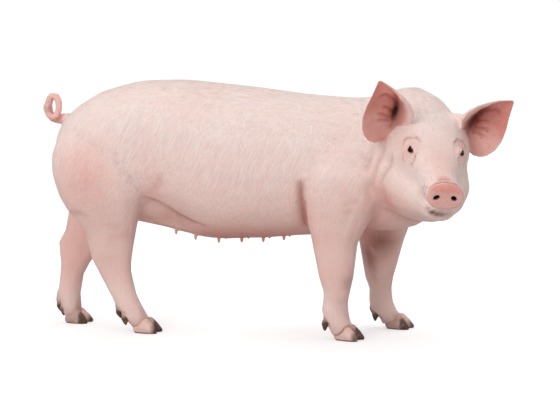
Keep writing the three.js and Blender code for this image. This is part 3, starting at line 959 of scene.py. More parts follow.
def shapeEars(points, normals):
    # the ear hole, the furrows round it and the rolled inner edge, in the hollow of each ear
    for side in (-1, 1):
        ahead = np.array(earFrame(side).to_3x3().col[0])
        near = np.flatnonzero(earRegion(points) & (normals @ ahead > 0.1))
        forward, out, up = earPlaces(points[near], side)
        leaf, across = earLeaf(points[near], side)
        canal, shade, furrow, lips = earMarks(out, up)
        sink = earLook["canalDepth"] * canal
        sink += earLook["ridgeDepth"] * (furrow - 0.6 * lips * (1 - furrow))
        level = smoothStep(up, -25, 5) * (1 - smoothStep(up, 70, 110))
        sink += level * earLook["groove"] * bump(across, -0.46, 0.14)
        sink -= level * earLook["roll"] * bump(across, -0.82, 0.16)
        points[near] -= ahead * (sink * (leaf > 0))[:, None] / 1000
    return points


footLook = {"under": 0.0022, "near": 0.0012, "far": 0.0045}


def drawnUnderClaws(points, normals):
    # the skin of a foot passes under the horn of its claws
    low = np.flatnonzero(points[:, 2] < 0.11)
    away, face = nearestOn(copyOfNodes("claws", clawNodes), points[low], 0.006)
    under = 1 - smoothStep(away, footLook["near"], footLook["far"])
    points[low] -= normals[low] * (footLook["under"] * under)[:, None]
    return points


def thinned(piece):
    # fewer triangles, least where the form is fine
    mesh = piece.data
    points = meshPoints(mesh)
    keep = np.full(len(points), 0.05)
    local = toHead(points)
    keep = np.maximum(keep, 0.35 * smoothStep(local[:, 0], -0.05, 0.05))
    keep[earRegion(points)] = 0.6
    keep = np.maximum(keep, 0.8 * smoothStep(local[:, 0], 0.20, 0.26))
    keep[teatRegion(points)] = 0.7
    keep = np.maximum(keep, 0.6 * tailMask(points))
    keep[eyeRegion(0.046)(points)] = 0.8
    keep[eyeRegion(0.026)(points)] = 1
    weigh(piece, "keep", keep)
    triangles = len(mesh.loops) - 2 * len(mesh.polygons)
    thin = piece.modifiers.new("thin", "DECIMATE")
    thin.ratio = skinSizes["triangles"] / triangles
    thin.vertex_group = "keep"
    thin.invert_vertex_group = True
    thin.use_collapse_triangulate = True
    thin.vertex_group_factor = 1.0
    return finished(piece)


skin = makeSkinForm()
evened(skin, earRegion, 14)
refined(skin, lambda points: headRegion(points) | earRegion(points) | teatRegion(points), 2)
evened(skin, earRegion, 24)
relaxed(skin, earBaseWeights(meshPoints(skin.data)), 70)
refined(skin, lambda points: eyeRegion(0.030)(points) | teatRegion(points), 3)
refined(skin, eyeRegion(0.016), 3)
report(f"refined the face, {len(skin.data.polygons)} faces")
sculpt(skin)
report("sculpted the skin")
thinned(skin)
report(f"thinned the skin to {len(skin.data.polygons)} triangles")
shadeSmooth(skin.data)
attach(skin, "root")
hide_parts(*fleshNodes)


# ---- claws

clawLook = {"voxel": 0.0013, "rounds": 14, "grow": 0.0003, "rings": 7, "ringDepth": 0.00010}


def makeClaw(node):
    piece = addObject(node.replace("claw", "hoof"), copyOfNodes("claw", [node]))
    low = meshPoints(piece.data)[:, 2].min()
    remeshed(piece, clawLook["voxel"])
    points = meshPoints(piece.data)
    relaxed(piece, np.full(len(points), 1.0), clawLook["rounds"])
    points = meshPoints(piece.data)
    normals = meshNormals(piece.data)
    high = points[:, 2].max()
    level = (points[:, 2] - low) / (high - low)
    rings = np.sin(level * clawLook["rings"] * math.tau) * (1 - normals[:, 2] ** 2)
    points += normals * (clawLook["grow"] + clawLook["ringDepth"] * rings)[:, None]
    if not node.startswith("dew"):
        # the sole is flat on the floor
        points[:, 2] = np.maximum(points[:, 2], 0)
        flat = smoothStep(points[:, 2], 0.0022, 0.0006)
        points[:, 2] *= 1 - flat
    setPoints(piece.data, points)
    shadeSmooth(piece.data)
    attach(piece, "root")
    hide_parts(node)
    return piece


claws = [makeClaw(node) for node in clawNodes]
report("made the claws")


# ---- eyeballs


def makeEye(node, side):
    ball = bmesh.new()
    bmesh.ops.create_uvsphere(ball, u_segments=56, v_segments=40, radius=eyeSpot["radius"])
    place, axes = eyeAxes(side)
    turn = Matrix([list(row) for row in axes.T]).to_4x4()
    for vert in ball.verts:
        # the cornea stands out a little
        tilt = vert.co.angle(Vector((0, 0, 1)))
        vert.co *= 1 + 0.055 * math.exp(-((tilt / 0.62) ** 4))
    back = Matrix.Translation((0, 0, -eyeLook["ballBack"]))
    bmesh.ops.transform(ball, matrix=Matrix.Translation(place) @ turn @ back, verts=ball.verts)
    bmesh.ops.recalc_face_normals(ball, faces=ball.faces)
    mesh = bpy.data.meshes.new(node)
    ball.to_mesh(mesh)
    ball.free()
    piece = addObject("eyeball_" + node.split("_")[1], mesh)
    shadeSmooth(mesh)
    gaps = (meshPoints(mesh) - place) @ axes.T / eyeSpot["radius"]
    addMask(mesh, "across", gaps[:, 0])
    addMask(mesh, "over", gaps[:, 1])
    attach(piece, "root")
    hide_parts(node)
    return piece


eyeballs = [makeEye("eye_right", -1), makeEye("eye_left", 1)]
report("made the eyes")


# ---- markings and painted shade, which skin and coat share

# soft patches in millimetres: middle, reach along each axis, strength
patches = {
    # redder skin, which under the chest, belly, throat and thighs is partly painted shade and bounce light
    "red": {
        "pig": [
            ((170, 0, 300), (110, 75, 70), 0.75), ((-80, 0, 262), (240, 110, 38), 0.68),
            ((-400, 0, 330), (120, 60, 70), 0.7), ((195, -134, 128), (40, 50, 62), 0.26),
            ((300, 112, 120), (40, 50, 62), 0.26), ((-589, 40, 190), (60, 60, 110), 0.28),
            ((-612, 0, 430), (30, 30, 45), 0.45),
        ],
        "pig, both sides": [
            ((250, 60, 330), (60, 60, 60), 0.55), ((-495, 145, 440), (76, 90, 80), 0.46),
            ((84, 120, 330), (30, 50, 50), 0.3), ((-330, 150, 450), (42, 60, 80), 0.24),
            ((-325, 120, 380), (45, 50, 35), 0.3),
        ],
        "head": [
            ((60, 0, -160), (120, 70, 30), 0.5), ((262, 0, 28), (22, 34, 10), 0.38),
            ((200, 0, 40), (70, 30, 30), 0.3),
        ],
        "head, both sides": [
            ((10, 125, -40), (20, 40, 60), 0.14), ((118, 66, 44), (28, 30, 30), 0.42),
            ((140, 65, -89), (60, 40, 34), 0.32), ((70, 90, -110), (70, 50, 40), 0.5),
        ],
    },
    "deep": {
        # painted shade where less light falls: under chest, belly and jaw, on the neck and the far legs,
        # below the flank fold, on the snout and over the back
        "pig": [
            ((-230, 0, 690), (420, 130, 60), 0.11), ((170, 0, 300), (110, 75, 70), 0.6),
            ((270, 62, 242), (52, 40, 38), 0.8), ((232, 70, 200), (22, 36, 40), 0.75),
            ((-80, 0, 262), (240, 110, 38), 0.72), ((-589, 40, 190), (60, 60, 110), 0.16),
            ((-290, -90, 312), (70, 34, 26), 0.7), ((-470, 60, 280), (60, 50, 90), 0.25),
        ],
        "pig, both sides": [
            ((-500, 145, 430), (80, 90, 90), 0.12),
        ],
        "head": [
            ((302, 0, -18), (14, 30, 24), 0.14), ((30, 0, -170), (110, 90, 26), 0.4),
            ((10, -112, -20), (14, 26, 60), 0.12),
        ],
        "head, both sides": [
            ((70, 90, -110), (70, 50, 40), 0.22),
        ],
    },
    "grimeAndShade": {
        # dirt on the knees, hocks and feet; the patches on the far foreleg are painted shadow, and under
        # the snout painted shadow with dirt
        "pig": [
            ((228, 66, 192), (16, 34, 26), 0.46), ((242, 66, 216), (24, 34, 22), 0.46),
            ((262, 66, 236), (32, 34, 22), 0.46), ((206, -134, 150), (18, 40, 26), 0.36),
            ((190, -134, 96), (30, 40, 30), 0.18), ((295, 112, 126), (26, 40, 40), 0.18),
            ((-440, -105, 190), (40, 40, 30), 0.12),
        ],
        "head": [
            ((268, -30, -54), (12, 11, 6), 0.62), ((274, -21, -60), (12, 13, 7), 1.0),
            ((275, -9, -64), (12, 13, 7), 1.0), ((276, 3, -65), (12, 12, 7), 0.85),
            ((275, 15, -63), (12, 10, 6), 0.45),
        ],
        "head, both sides": [
            ((225, 54, -36), (30, 16, 22), 0.11),
        ],
    },
}
earTint = {
    # how red the inner ear is on its leaf, in its hollow (partly painted shade), on its rim, behind and
    # higher up, and how much dirt and painted shade lies round the hole
    "leaf": 0.62, "hollow": 0.98, "rim": 0.36, "behind": 0.28, "upper": 0.30, "shade": 0.45,
    # specks out and up from the ear hole, and their size
    "specks": [(12, -4, 2.2), (22, 30, 1.8), (30, 8, 1.6)],
}


def patchMask(points, name):
    local = {"head": toHead(points), "pig": toPig(points)}
    mask = np.zeros(len(points))
    for group, rows in patches[name].items():
        for side in (-1, 1) if "both" in group else (1,):
            for at, size, value in rows:
                mask = np.maximum(mask, value * softSpot(local[group.split(",")[0]], at, size, side))
    return mask


# where the kinds of skin fade in and out, in millimetres: heights are negative, as they count down,
# the chin counts down and the head forward from the joint of neck and skull
zones = {
    "warmAndShade": (-560, -250), "foot": (-180, -90), "leg": (-330, -240), "soil": (-60, -20),
    "chin": (20, 130), "head": (-20, 40), "headHalf": 150, "claws": 110,
}


def atLeast(marks, name, values, where=slice(None)):
    marks[name][where] = np.maximum(marks[name][where], values)


def markEars(marks, points, normals):
    # a red leaf with a paler rim, painted shade in its hollow, its furrows and round its hole, the hole
    # painted dark as shade, and a few specks on the left one
    for side in (-1, 1):
        forward, out, up = earPlaces(points, side)
        ahead = normals @ np.array(earFrame(side).to_3x3().col[0])
        leaf, across = earLeaf(points, side)
        inner = smoothStep(ahead, 0.0, 0.3) * leaf * smoothStep(across, -1.06, -0.9)
        canal, shade, furrow, lips = earMarks(out, up)
        hollow = bump(np.hypot((out + 12) / 36, (up - 34) / 46), 0, 1)
        edge = smoothStep(-across, 0.62, 0.80) + smoothStep(across, 0.88, 0.99)
        flush = earTint["leaf"] + (earTint["hollow"] - earTint["leaf"]) * hollow
        flush = flush + earTint["upper"] * smoothStep(up, 25, 70) * (1 - hollow)
        # painted shade in the hollow, the furrows, round the hole and higher up
        foldShade = 0.35 * hollow + 0.35 * furrow + 0.5 * shade + 0.26 * smoothStep(up, 30, 80)
        atLeast(marks, "red", inner * (flush + (earTint["rim"] - flush) * edge))
        atLeast(marks, "red", leaf * (1 - inner) * earTint["behind"] * smoothStep(up, -30, 30))
        atLeast(marks, "deep", inner * (1 - 0.8 * edge) * foldShade)
        atLeast(marks, "openingShade", inner * earJoints[side]["openingShade"] * smoothStep(canal, 0.3, 1.0))
        atLeast(marks, "grimeAndShade", inner * earTint["shade"] * shade)
        for aside, over, size in earTint["specks"] if side > 0 else ():
            speck = np.hypot(out - aside, up - over) / size
            atLeast(marks, "grimeAndShade", inner * (1 - smoothStep(speck, 0.6, 1.2)))


def markEyes(marks, points):
    for side in (-1, 1):
        x, y, z = eyePlaces(points, side)
        e = np.where(z > 0, lidMeasure(x, y), 9)
        atLeast(marks, "red", 0.42 * (1 - smoothStep(e, 1.05, 1.5)))
        # painted shade in the opening of the lids
        atLeast(marks, "openingShade", 0.80 * (1 - smoothStep(e, 0.98, 1.10)))


# the disc in millimetres, and each nostril: its middle, how long and wide, and its slant
snoutLook = {
    "edge": 296.5, "front": 300, "bottom": -52, "red": 0.60, "band": 0.26,
    "aside": 21, "down": 10.5, "long": 8.8, "wide": 5.4, "slant": (0.87, 0.5), "widens": 0.025,
}


def markSnout(marks, head):
    look = snoutLook
    disc = smoothStep(head[:, 0], look["edge"], look["front"]) * (head[:, 2] > look["bottom"])
    band = smoothStep(head[:, 2], -2, 10) * disc
    atLeast(marks, "red", (look["red"] + look["band"] * band) * disc)
    out, level = np.abs(head[:, 1]) - look["aside"], head[:, 2] + look["down"]
    inward = 1 + look["widens"] * np.clip(302 - head[:, 0], 0, 24)
    more, less = look["slant"]
    along, across = (more * out - less * level) / look["long"], (less * out + more * level) / look["wide"]
    hole = (1 - smoothStep(np.hypot(along, across) / inward, 0.72, 1.12)) * (head[:, 0] > 275)
    # the nostrils painted dark, as shade in their holes
    atLeast(marks, "openingShade", hole * smoothStep(306 - head[:, 0], 0.6, 4))
    marks["red"] *= 1 - 0.5 * hole


def markFeet(marks, points, height):
    # soil on the feet, and painted shade in the crease where the skin meets the horn
    atLeast(marks, "grimeAndShade", 0.07 * smoothStep(-height, *zones["soil"]))
    low = np.flatnonzero(height < zones["claws"])
    away = nearestOn(copyOfNodes("claws", clawNodes), points[low], 0.012)[0] * 1000
    atLeast(marks, "deep", 0.75 * bump(away, 2.5, 2.5), low)
    atLeast(marks, "grimeAndShade", 0.09 * (1 - smoothStep(away, 3, 11)), low)


def markTeats(marks, pig):
    under = (pig[:, 2] < 300) & (pig[:, 2] > 200) & (np.abs(pig[:, 1]) < 90)
    for forth in teats["places"]:
        for side in (-1, 1):
            away = np.hypot(pig[:, 0] - forth * 1000, pig[:, 1] - side * teats["rows"] * 1000)
            atLeast(marks, "red", under * 0.3 * (1 - smoothStep(away, 6, 16)))


def warmAndShadedPlaces(head, height, normals, inHead):
    # warmer low on the body, partly real and partly painted shade, and painted shade on what faces down,
    # but not on the feet
    warmAndShade = smoothStep(-height, *zones["warmAndShade"]) * 0.75
    warmAndShade = np.maximum(warmAndShade, 0.85 * smoothStep(-normals[:, 2], 0.1, 0.9))
    warmAndShade *= 1 - 0.6 * smoothStep(-height, *zones["foot"])
    return warmAndShade * (1 - inHead) + inHead * 0.75 * smoothStep(-head[:, 2], *zones["chin"])


def markingsOf(mesh):
    # how red the skin is, how warm (partly painted shade), where it is dirty or painted with shade, where
    # shade is painted in its creases, hollows and openings, and where its hair lies which way
    points, normals = meshPoints(mesh), meshNormals(mesh)
    head, pig = toHead(points) * 1000, toPig(points) * 1000
    height = pig[:, 2]
    marks = {name: patchMask(points, name) for name in ("deep", "red")}
    inHead = smoothStep(head[:, 0], *zones["head"]) * (np.abs(head[:, 1]) < zones["headHalf"])
    leg = smoothStep(-height, *zones["leg"]) * (1 - inHead)
    marks["warmAndShade"] = warmAndShadedPlaces(head, height, normals, inHead)
    marks["grimeAndShade"] = patchMask(points, "grimeAndShade")
    marks["openingShade"] = np.zeros(len(points))
    marks["onBack"] = smoothStep(normals[:, 2], 0.35, 0.8) * (1 - leg) * (1 - inHead)
    marks["onLeg"] = leg
    marks["onFace"] = inHead
    # painted shade in the bottoms of the furrows
    atLeast(marks, "deep", creaseShadeMask(points))
    markEars(marks, points, normals)
    markEyes(marks, points)
    markSnout(marks, head)
    markFeet(marks, points, height)
    markTeats(marks, pig)
    atLeast(marks, "red", 0.5 * tailMask(points))
    return marks


masks = markingsOf(skin.data)
for maskName, values in masks.items():
    addMask(skin.data, maskName, values)
report("marked the skin")


# ---- materials

hide = {
    # its colours: a warm one partly painted as shade, one for dirt and painted shade, a deep one
    # multiplied in as painted shade, and a near black painted as shade in the openings
    "fair": colour(0.86, 0.69, 0.64), "warmAndShade": colour(0.83, 0.53, 0.47), "red": colour(0.80, 0.33, 0.28),
    "grimeAndShade": colour(0.17, 0.09, 0.065), "deep": colour(0.56, 0.30, 0.24),
    "openingShade": colour(0.028, 0.010, 0.007), "bristle": colour(0.96, 0.85, 0.80),
    # scales of its noises and cracks
    "broad": 7.0, "mottle": 34.0, "grain": 260.0, "crack": 190.0,
    # hair: length and width of a streak, how it sways, and its fall on flank, back and legs
    "streakAlong": 0.060, "streakAcross": 0.0032, "sway": 0.05, "swayScale": 4.0,
    "flankFall": 118, "backFall": 174, "legFall": 88,
}


def streaks(tree, place, turn):
    # hair-like streaks that run along the X axis of a turned frame
    scale = (hide["streakAlong"], hide["streakAcross"], hide["streakAcross"])
    inputs = {"Vector": place, "Rotation": turn, "Scale": scale}
    mapping = addNode(tree, "ShaderNodeMapping", inputs, vector_type="TEXTURE")
    return noiseOf(tree, mapping.outputs["Vector"], 1.0, 2.0, 0.6)


def hairOf(group, place):
    # streaks of hair, whose lie sways and differs on back, legs and face
    inputs = {"Vector": place, "Scale": hide["swayScale"], "Detail": 1.0}
    inputs = {0: addNode(group, "ShaderNodeTexNoise", inputs).outputs["Color"], "Scale": hide["sway"]}
    drift = addNode(group, "ShaderNodeVectorMath", inputs, operation="SCALE").outputs[0]
    swayed = vectorMaths(group, "ADD", place, drift)
    hair = streaks(group, swayed, (0, math.radians(hide["flankFall"]), 0))
    turns = {
        "onBack": (0, math.radians(hide["backFall"]), 0), "onLeg": (0, math.radians(hide["legFall"]), 0),
        "onFace": tuple(headTurned.to_euler()),
    }
    for name, turn in turns.items():
        hair = mixed(group, maskOf(group, name), hair, streaks(group, swayed, turn))
    return hair


def tintOf(group, given, place, hair):
    mottle = noiseOf(group, place, hide["mottle"], 4.0, 0.6)
    # warm where the blood shows, in clouds and mottles, and as painted shade low on the body, under the
    # jaw and where the skin faces down
    warmth = scaled(group, noiseOf(group, place, hide["broad"], 3.0), 0.9, -0.45)
    warmth = maths(group, "ADD", warmth, maskOf(group, "warmAndShade"))
    warmth = maths(group, "ADD", warmth, scaled(group, mottle, 0.5, -0.22), clamp=True)
    tint = mixed(group, warmth, hide["fair"], hide["warmAndShade"])
    # red, and dirt with painted shade, each laid on in mottles
    for name, gain, offset in (("red", 0.7, 0.68), ("grimeAndShade", 1.0, 0.42)):
        amount = times(group, maskOf(group, name), scaled(group, mottle, gain, offset), clamp=True)
        tint = mixed(group, amount, tint, hide[name])
    pale = times(group, given["Bristle"], maths(group, "SUBTRACT", 1.0, maskOf(group, "red")))
    tint = mixed(group, pale, tint, hide["bristle"])
    # painted shade in creases, hollows and where less light falls, multiplied in
    tint = mixed(group, maskOf(group, "deep"), tint, hide["deep"], "MULTIPLY")
    # streaks of hair, pale over pink, and weaker on the legs
    swing = times(group, scaled(group, hair, 2.0, -1.0), given["Streak"])
    swing = times(group, swing, scaled(group, maskOf(group, "onLeg"), -0.6, 1.0))
    whole = maths(group, "ADD", swing, 1.0)
    shares = {0: scaled(group, swing, 0.5, 1.0), 1: whole, 2: whole}
    streak = addNode(group, "ShaderNodeCombineColor", shares).outputs[0]
    tint = mixed(group, 1.0, tint, streak, "MULTIPLY")
    # near black painted as shade in the ear holes, the nostrils and the eye openings
    return mixed(group, maskOf(group, "openingShade"), tint, hide["openingShade"])


def makeHideGroup():
    group = bpy.data.node_groups.new("pig hide", "ShaderNodeTree")
    for name, way, kind in (
        ("Bristle", "INPUT", "Float"), ("Streak", "INPUT", "Float"), ("Colour", "OUTPUT", "Color"),
        ("Roughness", "OUTPUT", "Float"), ("Height", "OUTPUT", "Float"),
    ):
        group.interface.new_socket(name, in_out=way, socket_type="NodeSocket" + kind)
    given = addNode(group, "NodeGroupInput").outputs
    place = objectPlace(group)
    hair = hairOf(group, place)
    grain = noiseOf(group, place, hide["grain"], 3.0, 0.6)
    inputs = {"Vector": place, "Scale": hide["crack"]}
    crease = addNode(group, "ShaderNodeTexVoronoi", inputs, feature="DISTANCE_TO_EDGE")
    cracks = times(group, maths(group, "MINIMUM", crease.outputs["Distance"], 0.18), 1.6)
    height = scaled(group, grain, 0.35, scaled(group, hair, 1.0, cracks))
    addNode(group, "NodeGroupOutput", {
        "Colour": tintOf(group, given, place, hair), "Roughness": scaled(group, grain, 0.22, 0.44),
        "Height": height,
    })
    return group


hideGroup = makeHideGroup()


def makeSkinMaterial():
    material, tree, shader = newMaterial("pig skin")
    group = addNode(tree, "ShaderNodeGroup", node_tree=hideGroup)
    give(tree, group, {"Streak": 0.26})
    inputs = {"Height": group.outputs["Height"], "Strength": 0.35, "Distance": 0.0012}
    give(tree, shader, {
        "Base Color": group.outputs["Colour"], "Roughness": group.outputs["Roughness"],
        "Normal": addNode(tree, "ShaderNodeBump", inputs).outputs["Normal"],
        "Subsurface Weight": 0.15, "Subsurface Radius": (1.0, 0.35, 0.2), "Subsurface Scale": 0.012,
        "Specular IOR Level": 0.35,
    })
    return material


def makeCoatMaterial():
    material, tree, shader = newMaterial("bristles")
    group = addNode(tree, "ShaderNodeGroup", node_tree=hideGroup)
    give(tree, group, {"Bristle": times(tree, maskOf(tree, "tip"), 0.80), "Streak": 0.10})
    give(tree, shader, {
        "Base Color": group.outputs["Colour"], "Roughness": 0.5, "Specular IOR Level": 0.3,
    })
    return material


skin.data.materials.append(makeSkinMaterial())
coatMaterial = makeCoatMaterial()


horn = {
    "wall": colour(0.86, 0.57, 0.50), "tip": colour(0.075, 0.036, 0.022),
    "soil": colour(0.36, 0.18, 0.12), "cloud": 60.0, "grain": 420.0, "bands": (30.0, 30.0, 220.0),
}


def makeHornMaterial():
    material, tree, shader = newMaterial("horn")
    place = objectPlace(tree)
    cloud = noiseOf(tree, place, horn["cloud"], 4.0, 0.6)
    grain = noiseOf(tree, place, horn["grain"], 3.0, 0.6)
    stretch = addNode(tree, "ShaderNodeMapping", {"Vector": place, "Scale": horn["bands"]})
    bands = noiseOf(tree, stretch.outputs["Vector"], 1.0, 2.0, 0.5)
    worn = times(tree, scaled(tree, cloud, 1.6, 0.3), maskOf(tree, "worn"), clamp=True)
    tint = mixed(tree, worn, horn["wall"], horn["tip"])
    tint = mixed(tree, scaled(tree, grain, 1.6, -0.76, clamp=True), tint, horn["soil"])
    inputs = {"Height": scaled(tree, bands, 0.8, grain), "Strength": 0.5, "Distance": 0.0008}
    give(tree, shader, {
        "Base Color": tint, "Roughness": scaled(tree, cloud, 0.35, 0.35),
        "Normal": addNode(tree, "ShaderNodeBump", inputs).outputs["Normal"],
    })
    return material


eyeTint = {
    "iris": (colour(0.016, 0.006, 0.003), colour(0.046, 0.018, 0.008)),
    "white": (colour(0.34, 0.20, 0.16), colour(0.50, 0.38, 0.33)),
    "pupil": colour(0.003, 0.002, 0.002), "fibres": 900.0, "flatter": 0.72,
    # where the pupil and the iris end, as shares of the eyeball's radius
    "pupilEdge": (0.30, 0.36), "irisEdge": (0.74, 0.86),
}


def pastEdge(tree, across, over, ends):
    # 0 inside a round edge on the eyeball, and 1 outside it
    size = maths(tree, "SQRT", maths(tree, "ADD", times(tree, across, across), times(tree, over, over)))
    inputs = {"Value": size, "From Min": ends[0], "From Max": ends[1]}
    return addNode(tree, "ShaderNodeMapRange", inputs).outputs[0]


def makeEyeMaterial():
    material, tree, shader = newMaterial("eye")
    across, over = maskOf(tree, "across"), maskOf(tree, "over")
    fibres = noiseOf(tree, objectPlace(tree), eyeTint["fibres"], 3.0, 0.6)
    iris, white = (mixed(tree, fibres, *eyeTint[part]) for part in ("iris", "white"))
    wide = times(tree, across, eyeTint["flatter"])
    tint = mixed(tree, pastEdge(tree, wide, over, eyeTint["pupilEdge"]), eyeTint["pupil"], iris)
    tint = mixed(tree, pastEdge(tree, across, over, eyeTint["irisEdge"]), tint, white)
    give(tree, shader, {
        "Base Color": tint, "Roughness": 0.6, "Specular IOR Level": 0.0,
        "Coat Weight": 1.0, "Coat Roughness": 0.02, "Coat IOR": 1.16,
    })
    return material


hornMaterial = makeHornMaterial()


def wornHorn(piece):
    # 1 where the horn is dark: towards a claw's toe and along its sole, or down a dewclaw
    points = meshPoints(piece.data)
    level = points[:, 2] - points[:, 2].min()
    if "dew" in piece.name:
        return 1 - 0.6 * smoothStep(level / level.max(), 0.45, 1.0)
    flat = points[:, :2] - points[:, :2].mean(0)
    way = np.linalg.eigh(np.cov(flat.T))[1][:, 1]
    run = flat @ (way * np.sign(way[0]))
    run = (run - run.min()) / (run.max() - run.min())
    toe = smoothStep(run, 0.74, 0.94) * 0.85 if "outer" in piece.name else smoothStep(run, 0.55, 0.78)
    sole = 0.8 * (1 - smoothStep(level, 0.002, 0.005))
    return np.maximum(np.maximum(toe, sole), 0 if "outer" in piece.name else 0.35)


for claw in claws:
    addMask(claw.data, "worn", wornHorn(claw))
    claw.data.materials.append(hornMaterial)
eyeMaterial = makeEyeMaterial()
for eyeball in eyeballs:
    eyeball.data.materials.append(eyeMaterial)
report("made the materials")


# ---- the coat of bristles

coatLook = {
    "seed": 11, "perPiece": 19000, "sink": 0.0008, "wander": 0.2, "flat": 0.2, "patch": 0.003,
    "tailTip": (-0.640, -0.034, 0.614), "coarse": 6000,
    # how far length, width and the tip's height differ from tuft to tuft
    "spreads": [(0.7, 1.3), (0.75, 1.25), (0.5, 1.6)],
}

# tufts for each square metre, length, width and how far the tip stands off, in metres
bristles = {
    "body": (15000, 0.034, 0.00070, 0.0002),
    "crest": (22000, 0.030, 0.00078, 0.0008),
    "face": (36000, 0.0085, 0.00046, 0.0002),
    "brow": (34000, 0.018, 0.00075, 0.0020),
    "ear": (20000, 0.0065, 0.00042, 0.0003),
    "leg": (16000, 0.009, 0.00050, 0.0002),
    "tail": (9000, 0.008, 0.00050, 0.0003),
    "tuft": (160000, 0.026, 0.00090, 0.0040),
    "belly": (9000, 0.013, 0.00065, 0.0006),
    "canal": (26000, 0.012, 0.00055, 0.0030),
    "lash": (160000, 0.008, 0.00042, 0.0030),
}


def coatFields(points, normals):
    # how densely, how long, how wide and how high the bristles grow at each vertex
    head, pig = toHead(points) * 1000, toPig(points) * 1000
    inHead, tail = masks["onFace"], tailMask(points)
    onEar, canal, lash = np.zeros((3, len(points)))
    for side in (-1, 1):
        forward, out, up = earPlaces(points, side)
        leaf, across = earLeaf(points, side)
        onEar = np.maximum(onEar, leaf)
        hole = np.hypot((out + 26 + up * 0.42) / 12, (up - 12) / 34)
        canal = np.maximum(canal, leaf * bump(hole, 0, 0.9))
        x, y, z = eyePlaces(points, side)
        lash = np.maximum(lash, (z > 0) * (y > 0.002) * bump(lidMeasure(x, y), 1.2, 0.12))
    below = smoothStep(-normals[:, 2], 0.3, 0.8) * (pig[:, 2] > 200) * (pig[:, 2] < 420)
    ridge = bump(pig[:, 1], 0, 32) * smoothStep(pig[:, 2], 560, 610) * smoothStep(normals[:, 2], 0.5, 0.9)
    nape = smoothStep(head[:, 2], 60, 90) * bump(head[:, 1], 0, 42) * smoothStep(-head[:, 0], -60, 0)
    tailEnd = np.linalg.norm(toPig(points) - coatLook["tailTip"], axis=1)
    shares = {
        "belly": below, "leg": masks["onLeg"], "face": inHead, "crest": np.maximum(ridge * 0.7, nape),
        "brow": inHead * bump(head[:, 1], 0, 45) * bump(head[:, 0], 62, 30) * (head[:, 2] > 50),
        "ear": onEar, "tail": tail, "tuft": tail * bump(tailEnd, 0, 0.012), "canal": canal,
    }
    fields = np.tile(np.array(bristles["body"], float), (len(points), 1))
    for kind, share in shares.items():
        fields = fields * (1 - share[:, None]) + np.array(bristles[kind]) * share[:, None]
    bare = smoothStep(head[:, 0], 270, 284) * (head[:, 2] > -58)
    bare = np.maximum(bare, smoothStep(masks["openingShade"], 0.02, 0.10))
    bare = np.maximum(bare, inHead * smoothStep(masks["grimeAndShade"], 0.25, 0.60))
    for side in (-1, 1):
        x, y, z = eyePlaces(points, side)
        bare = np.maximum(bare, (z > 0) * (1 - smoothStep(lidMeasure(x, y), 1.5, 1.9)))
    fields[:, 0] *= 1 - bare
    return fields * (1 - lash[:, None]) + np.array(bristles["lash"]) * lash[:, None]


def coatLie(points, normals):
    # the way the bristles point: back and down the body, down the legs, up the face, out the ears
    head = toHead(points) * 1000
    lie = np.tile(np.array((-0.52, 0, -0.85)), (len(points), 1))
    back = smoothStep(np.abs(normals[:, 2]), 0.45, 0.85)[:, None]
    lie = lie * (1 - back) + np.array((-1, 0, -0.1)) * back
    turn = np.array(headTurned.to_3x3())
    cheek = smoothStep(-head[:, 2], -30, 60)
    face = np.stack([-1 + 0.3 * cheek, np.zeros(len(points)), -0.9 * cheek], 1) @ turn.T
    neck = smoothStep(head[:, 0], -150, 40)[:, None]
    lie = lie * (1 - neck) + face * neck
    leg = masks["onLeg"][:, None]
    lie = lie * (1 - leg) + np.array((-0.12, 0, -1)) * leg
    # it sways a little from place to place
    pig = toPig(points)
    sway = 0.3 * np.sin(9 * pig[:, 0] + 7 * pig[:, 2] + 1.3 * np.sin(6 * pig[:, 2] + 2))[:, None]
    lie = lie * np.cos(sway) + np.cross(normals, lie) * np.sin(sway)
    for side in (-1, 1):
        forward, out, up = earPlaces(points, side)
        mine = earLeaf(points, side)[0] > 0.5
        fan = np.stack([np.zeros(mine.sum()), side * out[mine] / 60, np.ones(mine.sum())], 1)
        lie[mine] = fan @ np.array(earFrame(side).to_3x3()).T
        place, axes = eyeAxes(side)
        x, y, z = eyePlaces(points, side)
        lid = (z > 0) & (lidMeasure(x, y) < 1.5)
        lie[lid] = axes[2] + 0.4 * axes[1] + (x[lid] / 0.012)[:, None] * axes[0]
    tail = inTail(points)
    spoke = points[tail] - sum(tailBox()) / 2
    lie[tail] = np.stack([-spoke[:, 2], np.zeros(tail.sum()), spoke[:, 0]], 1)
    lie -= normals * (lie * normals).sum(1)[:, None]
    return lie / np.maximum(np.linalg.norm(lie, axis=1), 1e-6)[:, None]


def unwrapped():
    # a coarse copy of the skin, unfolded flat, to say where each tuft belongs
    coarse = addObject("unwrap", skin.data.copy())
    thin = coarse.modifiers.new("thin", "DECIMATE")
    thin.ratio = coatLook["coarse"] / len(coarse.data.polygons)
    thin.use_collapse_triangulate = True
    finished(coarse)
    bpy.context.view_layer.objects.active = coarse
    coarse.select_set(True)
    bpy.ops.object.mode_set(mode="EDIT")
    bpy.ops.mesh.select_all(action="SELECT")
    bpy.ops.uv.smart_project(angle_limit=math.radians(66), island_margin=0.004)
    bpy.ops.object.mode_set(mode="OBJECT")
    mesh = coarse.data
    return coarse, listed(mesh.uv_layers[0].data, "uv", 2).reshape(-1, 3, 2)


